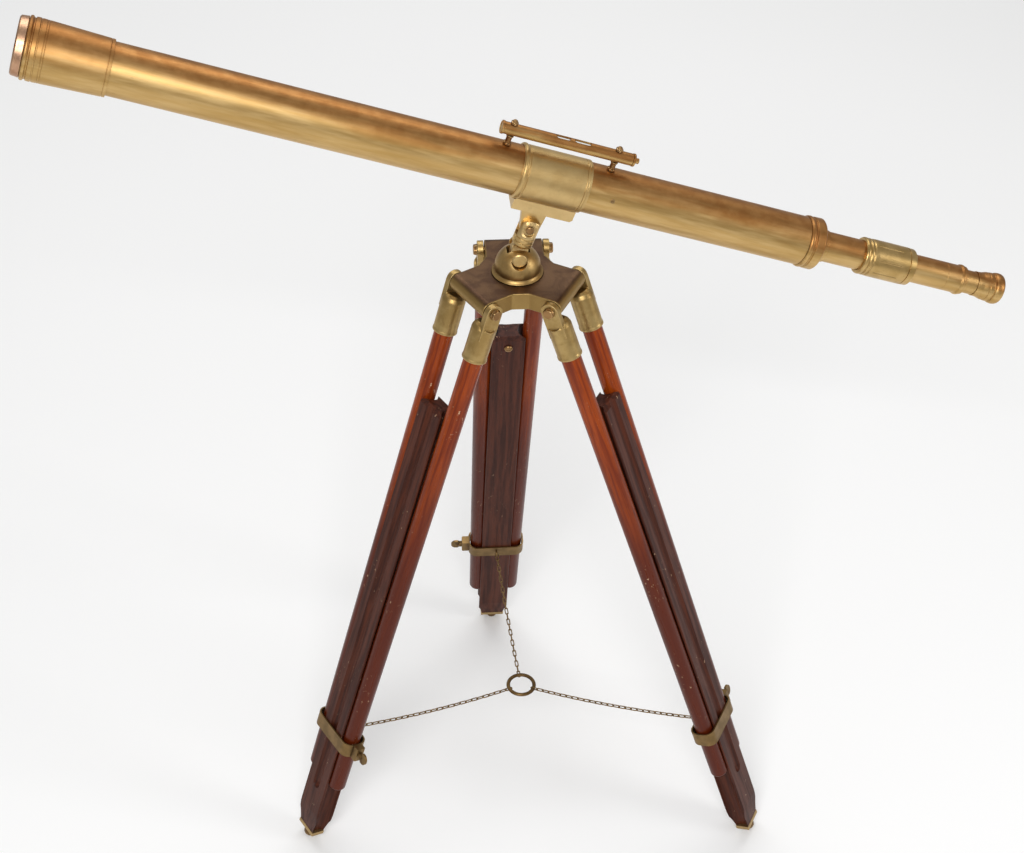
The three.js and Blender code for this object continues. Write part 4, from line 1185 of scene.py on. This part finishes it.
def foot(leg):
    """A square shoe under the blade and a round nub, worn flat where it stands."""
    shoe_top = -blade_end(leg) - GAP
    splay = leg_frame(leg).to_3x3().col[2].angle(Vector((0, 0, 1)))
    centre_height = math.sqrt(NUB_RADIUS**2 - NUB_FLAT_RADIUS**2)
    hinge_height = pivot(f"leg_fold_{leg}").z / MM
    centre = -(hinge_height - centre_height) / math.cos(splay)
    nub = [(shoe_top - 5, 0), (shoe_top - 5, NUB_RADIUS)]
    for degrees in range(0, 91, 10):
        angle = math.radians(degrees)
        nub.append(
            (centre - NUB_RADIUS * math.sin(angle), NUB_RADIUS * math.cos(angle) if degrees < 90 else 0),
        )
    floor_at = Matrix.Translation((0, 0, -leg_length(leg))) @ Matrix.Rotation(-splay, 4, "X")
    ground = shifted(slab(-30, 30, -30, 30, -40, 0), floor_at)
    shoe = slab(-19, 19, -10.5, 10.5, shoe_top - 6, shoe_top)
    piece = machined(
        f"foot_{leg}_shod", leg_frame(leg), [shoe, revolve(nub, 48, "Z", 0)], [ground], bevel=0.5,
    )
    finish_piece(piece, f"lower_leg_{leg}", FOOT_BRASS, "satin_brass", f"foot_{leg}")


def rod_mesh():
    """A turned rod with a rounded foot end."""
    rounding, top = 5, -SOCKET_TOP - SOCKET_WEB - GAP
    profile = [(-ROD_END, 0), (-ROD_END, 7.5)]
    for degrees in range(75, -1, -15):
        angle = math.radians(degrees)
        profile.append(
            (-ROD_END + rounding - rounding * math.sin(angle), 7.7 + rounding * math.cos(angle)),
        )
    profile += [(top, ROD_RADIUS), (top, 0)]
    return turned("rod_master", profile, Matrix.Identity(4), facets=64, about="Z", soft=0)


def legs():
    sockets = {
        side: socket_mesh(f"socket_master_{side}", outward) for side, outward in (("a", 1), ("b", -1))
    }
    rod = rod_mesh()
    for leg in LEGS:
        hinge_bolt(leg)
        for side, outward in (("a", 1), ("b", -1)):
            where = rod_frame(leg, outward)
            cup = copy_of(sockets[side], f"socket_{leg}_{side}_cast", where)
            finish_piece(cup, f"leg_{leg}", SOCKET_BRASS, "satin_brass", f"socket_{leg}_{side}")
            stick = copy_of(rod, f"rod_{leg}_{side}_turned", where)
            finish_piece(stick, f"leg_{leg}", RED_WOOD, "red_wood", f"rod_{leg}_{side}")
        finish_piece(blade_mesh(leg), f"lower_leg_{leg}", DARK_WOOD, "dark_wood", f"leg_blade_{leg}")
        stop_screw(leg)
        strap(leg)
        thumb_screw(leg)
        foot(leg)
    for master in (*sockets.values(), rod):
        bpy.data.objects.remove(master)


# ---------------------------------------------------------------- chains

RING_RADIUS, RING_WIRE = 20, 2.9
LINK_PITCH, LINK_WIRE, LINK_HALF_WIDTH = 9.6, 0.85, 2.1
CHAIN_SAG = 7.0


def chain_ring():
    low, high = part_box("chain_ring")
    middle = (low + high) / 2
    mesh = mesh_of("ring", *ring_points(RING_RADIUS, RING_WIRE, 96, 20, 0.85))
    ring = new_object("chain_ring_forged", mesh, Matrix.Translation(middle))
    outward_faces(ring.data)
    finish_piece(ring, "head", BRONZE, "bronze", "chain_ring")
    return middle


def link_centreline(half_length, half_width):
    """An oval loop in the XY plane, long in X."""
    reach = half_length - half_width
    return arc(reach, 0, half_width, -90, 90, 8) + arc(-reach, 0, half_width, 90, 270, 8)


def tube_round(loop, wire, sides=8):
    """A closed wire along a flat loop of points."""
    points, count = [], len(loop)
    for i, (x, y) in enumerate(loop):
        before, after = Vector(loop[i - 1]), Vector(loop[(i + 1) % count])
        tangent = (after - before).normalized()
        out = Vector((tangent.y, -tangent.x))
        for k in range(sides):
            angle = 2 * math.pi * k / sides
            reach = wire * math.cos(angle)
            points.append((x + reach * out.x, y + reach * out.y, wire * math.sin(angle)))
    return points, wire_faces(count, sides)


def chain(leg, ring_centre):
    """Oval links from the strap's eye to the ring, each a quarter turn on, in a shallow sag."""
    where = leg_frame(leg)
    eye = where @ Vector((0, -EYE_OUT * MM, -strap_at(leg) * MM))
    inward = ring_centre - eye
    inward.z = 0
    inward.normalize()
    start = eye + inward * (EYE_RADIUS - EYE_WIRE) * MM
    end = ring_centre - inward * (RING_RADIUS - RING_WIRE) * MM
    samples = 400
    route = []
    for k in range(samples + 1):
        t = k / samples
        route.append(start.lerp(end, t) - Vector((0, 0, CHAIN_SAG * MM * 4 * t * (1 - t))))
    lengths = [0.0]
    for a, b in zip(route, route[1:]):
        lengths.append(lengths[-1] + (b - a).length)
    links = round(lengths[-1] / MM / LINK_PITCH)
    pitch = lengths[-1] / links / MM

    def at(distance):
        k = min(int(np.searchsorted(lengths, distance * MM)), samples)
        return route[k]

    loop = link_centreline(pitch / 2 + LINK_WIRE, LINK_HALF_WIDTH)
    link_points, link_faces = tube_round(loop, LINK_WIRE)
    points, faces = [], []
    for i in range(links):
        a, b = at(i * pitch), at((i + 1) * pitch)
        x = (b - a).normalized()
        level = Vector((0, 0, 1)).cross(x).normalized()
        turn = placed(
            (a + b) / 2, x, level, x.cross(level),
        ) @ Matrix.Rotation(math.pi / 2 * (i % 2), 4, "X")
        offset = len(points)
        points += [tuple((turn @ (Vector(p) * MM)) / MM) for p in link_points]
        faces += [[offset + v for v in face] for face in link_faces]
    obj = new_object(f"chain_{leg}_links", mesh_of("chain", points, faces), Matrix.Identity(4))
    outward_faces(obj.data)
    finish_piece(obj, None, CHAIN_BRONZE, "bronze", f"chain_{leg}")
    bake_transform(obj)


# ---------------------------------------------------------------- room, lights and camera

SKY_STRENGTH = 0.38
CAMERA_LENS = 63.28
CAMERA_PLACE = (-0.192, -1.870, 2.295)  # from the foot of the tripod's vertical axis
# Degrees down, to the side, and about the line of sight.
CAMERA_PITCH, CAMERA_HEADING, CAMERA_ROLL = 41.06, -5.84, 1.79


def floor():
    reach, behind = 9000, 14000
    corners = [(-reach, -reach, 0), (reach, -reach, 0), (reach, behind, 0), (-reach, behind, 0)]
    mesh = mesh_of("floor", corners, [[0, 1, 2, 3]])
    obj = new_object("floor", mesh, Matrix.Identity(4))
    shader = Shader("floor")
    tone = shader.noise((0.8, 0.8, 0.8), detail=1)
    shader.set(Base_Color=shader.mix(tone, (0.93, 0.93, 0.925), (0.95, 0.95, 0.95)), Roughness=0.9)
    obj.data.materials.append(shader.material)


def area_light(name, position, target, size, power):
    light = bpy.data.lights.new(name, "AREA")
    light.shape = "RECTANGLE"
    light.size, light.size_y = size
    light.energy = power
    obj = new_object(name, light, Matrix.Identity(4))
    obj.location = position
    obj.rotation_euler = (Vector(target) - Vector(position)).to_track_quat("-Z", "Y").to_euler()


def lights():
    """A soft box in front for the long highlight, a weaker one at the side, and one behind."""
    middle = (0, 0, 0.6)
    area_light("front_box", (-0.7, -2.9, 3.3), middle, (2.2, 1.2), 92)
    area_light("side_box", (3.0, -1.2, 1.9), middle, (1.0, 1.6), 22)
    area_light("back_box", (0, 2.4, 4.2), (0, 1.6, 0), (4.5, 2.0), 85)
    world = bpy.data.worlds.new("studio")
    bpy.context.scene.world = world
    world.use_nodes = True
    sky = world.node_tree.nodes["Background"]
    sky.inputs["Color"].default_value = (1, 1, 1, 1)
    sky.inputs["Strength"].default_value = SKY_STRENGTH


def camera():
    """In front of the tripod and above it, looking down at it."""
    data = bpy.data.cameras.new("camera")
    data.sensor_width = 36
    data.lens = CAMERA_LENS
    aim = Euler((math.radians(90 - CAMERA_PITCH), 0, math.radians(CAMERA_HEADING))).to_matrix().to_4x4()
    roll = Matrix.Rotation(math.radians(CAMERA_ROLL), 4, "Z")
    place = Matrix.Translation(Vector((tripod_axis.x, tripod_axis.y, 0)) + Vector(CAMERA_PLACE))
    obj = new_object("camera", data, Matrix.Identity(4))
    obj.matrix_world = place @ aim @ roll
    bpy.context.scene.camera = obj
    bpy.context.scene.view_settings.view_transform = "Standard"


# ---------------------------------------------------------------- assembly

camera()
ring_middle = chain_ring()
for each_leg in LEGS:
    chain(each_leg, ring_middle)
lens_cap()
dew_hood()
lens_piece(
    "objective_lens_ground", TUBE_FRONT - 9.5, TUBE_FRONT - 2.3, 28.8, 1.5, "telescope", "objective_lens",
)
main_tube()
saddle_sleeve()
tail_flange()
draw_tubes()
grip_collar()
eyepiece()
lens_piece(
    "field_lens_ground", SECOND_REAR - 38, SECOND_REAR - 33, 13.7, 1.2, "second_draw", "field_lens",
)
lens_piece("eye_lens_ground", EYE_TUBE_REAR + 4, EYE_TUBE_REAR + 9, 9.3, 1, "second_draw", "eye_lens")
saddle()
spirit_level()
pillar()
dome()
swivel_stud()
head_casting()
legs()
floor()
lights()
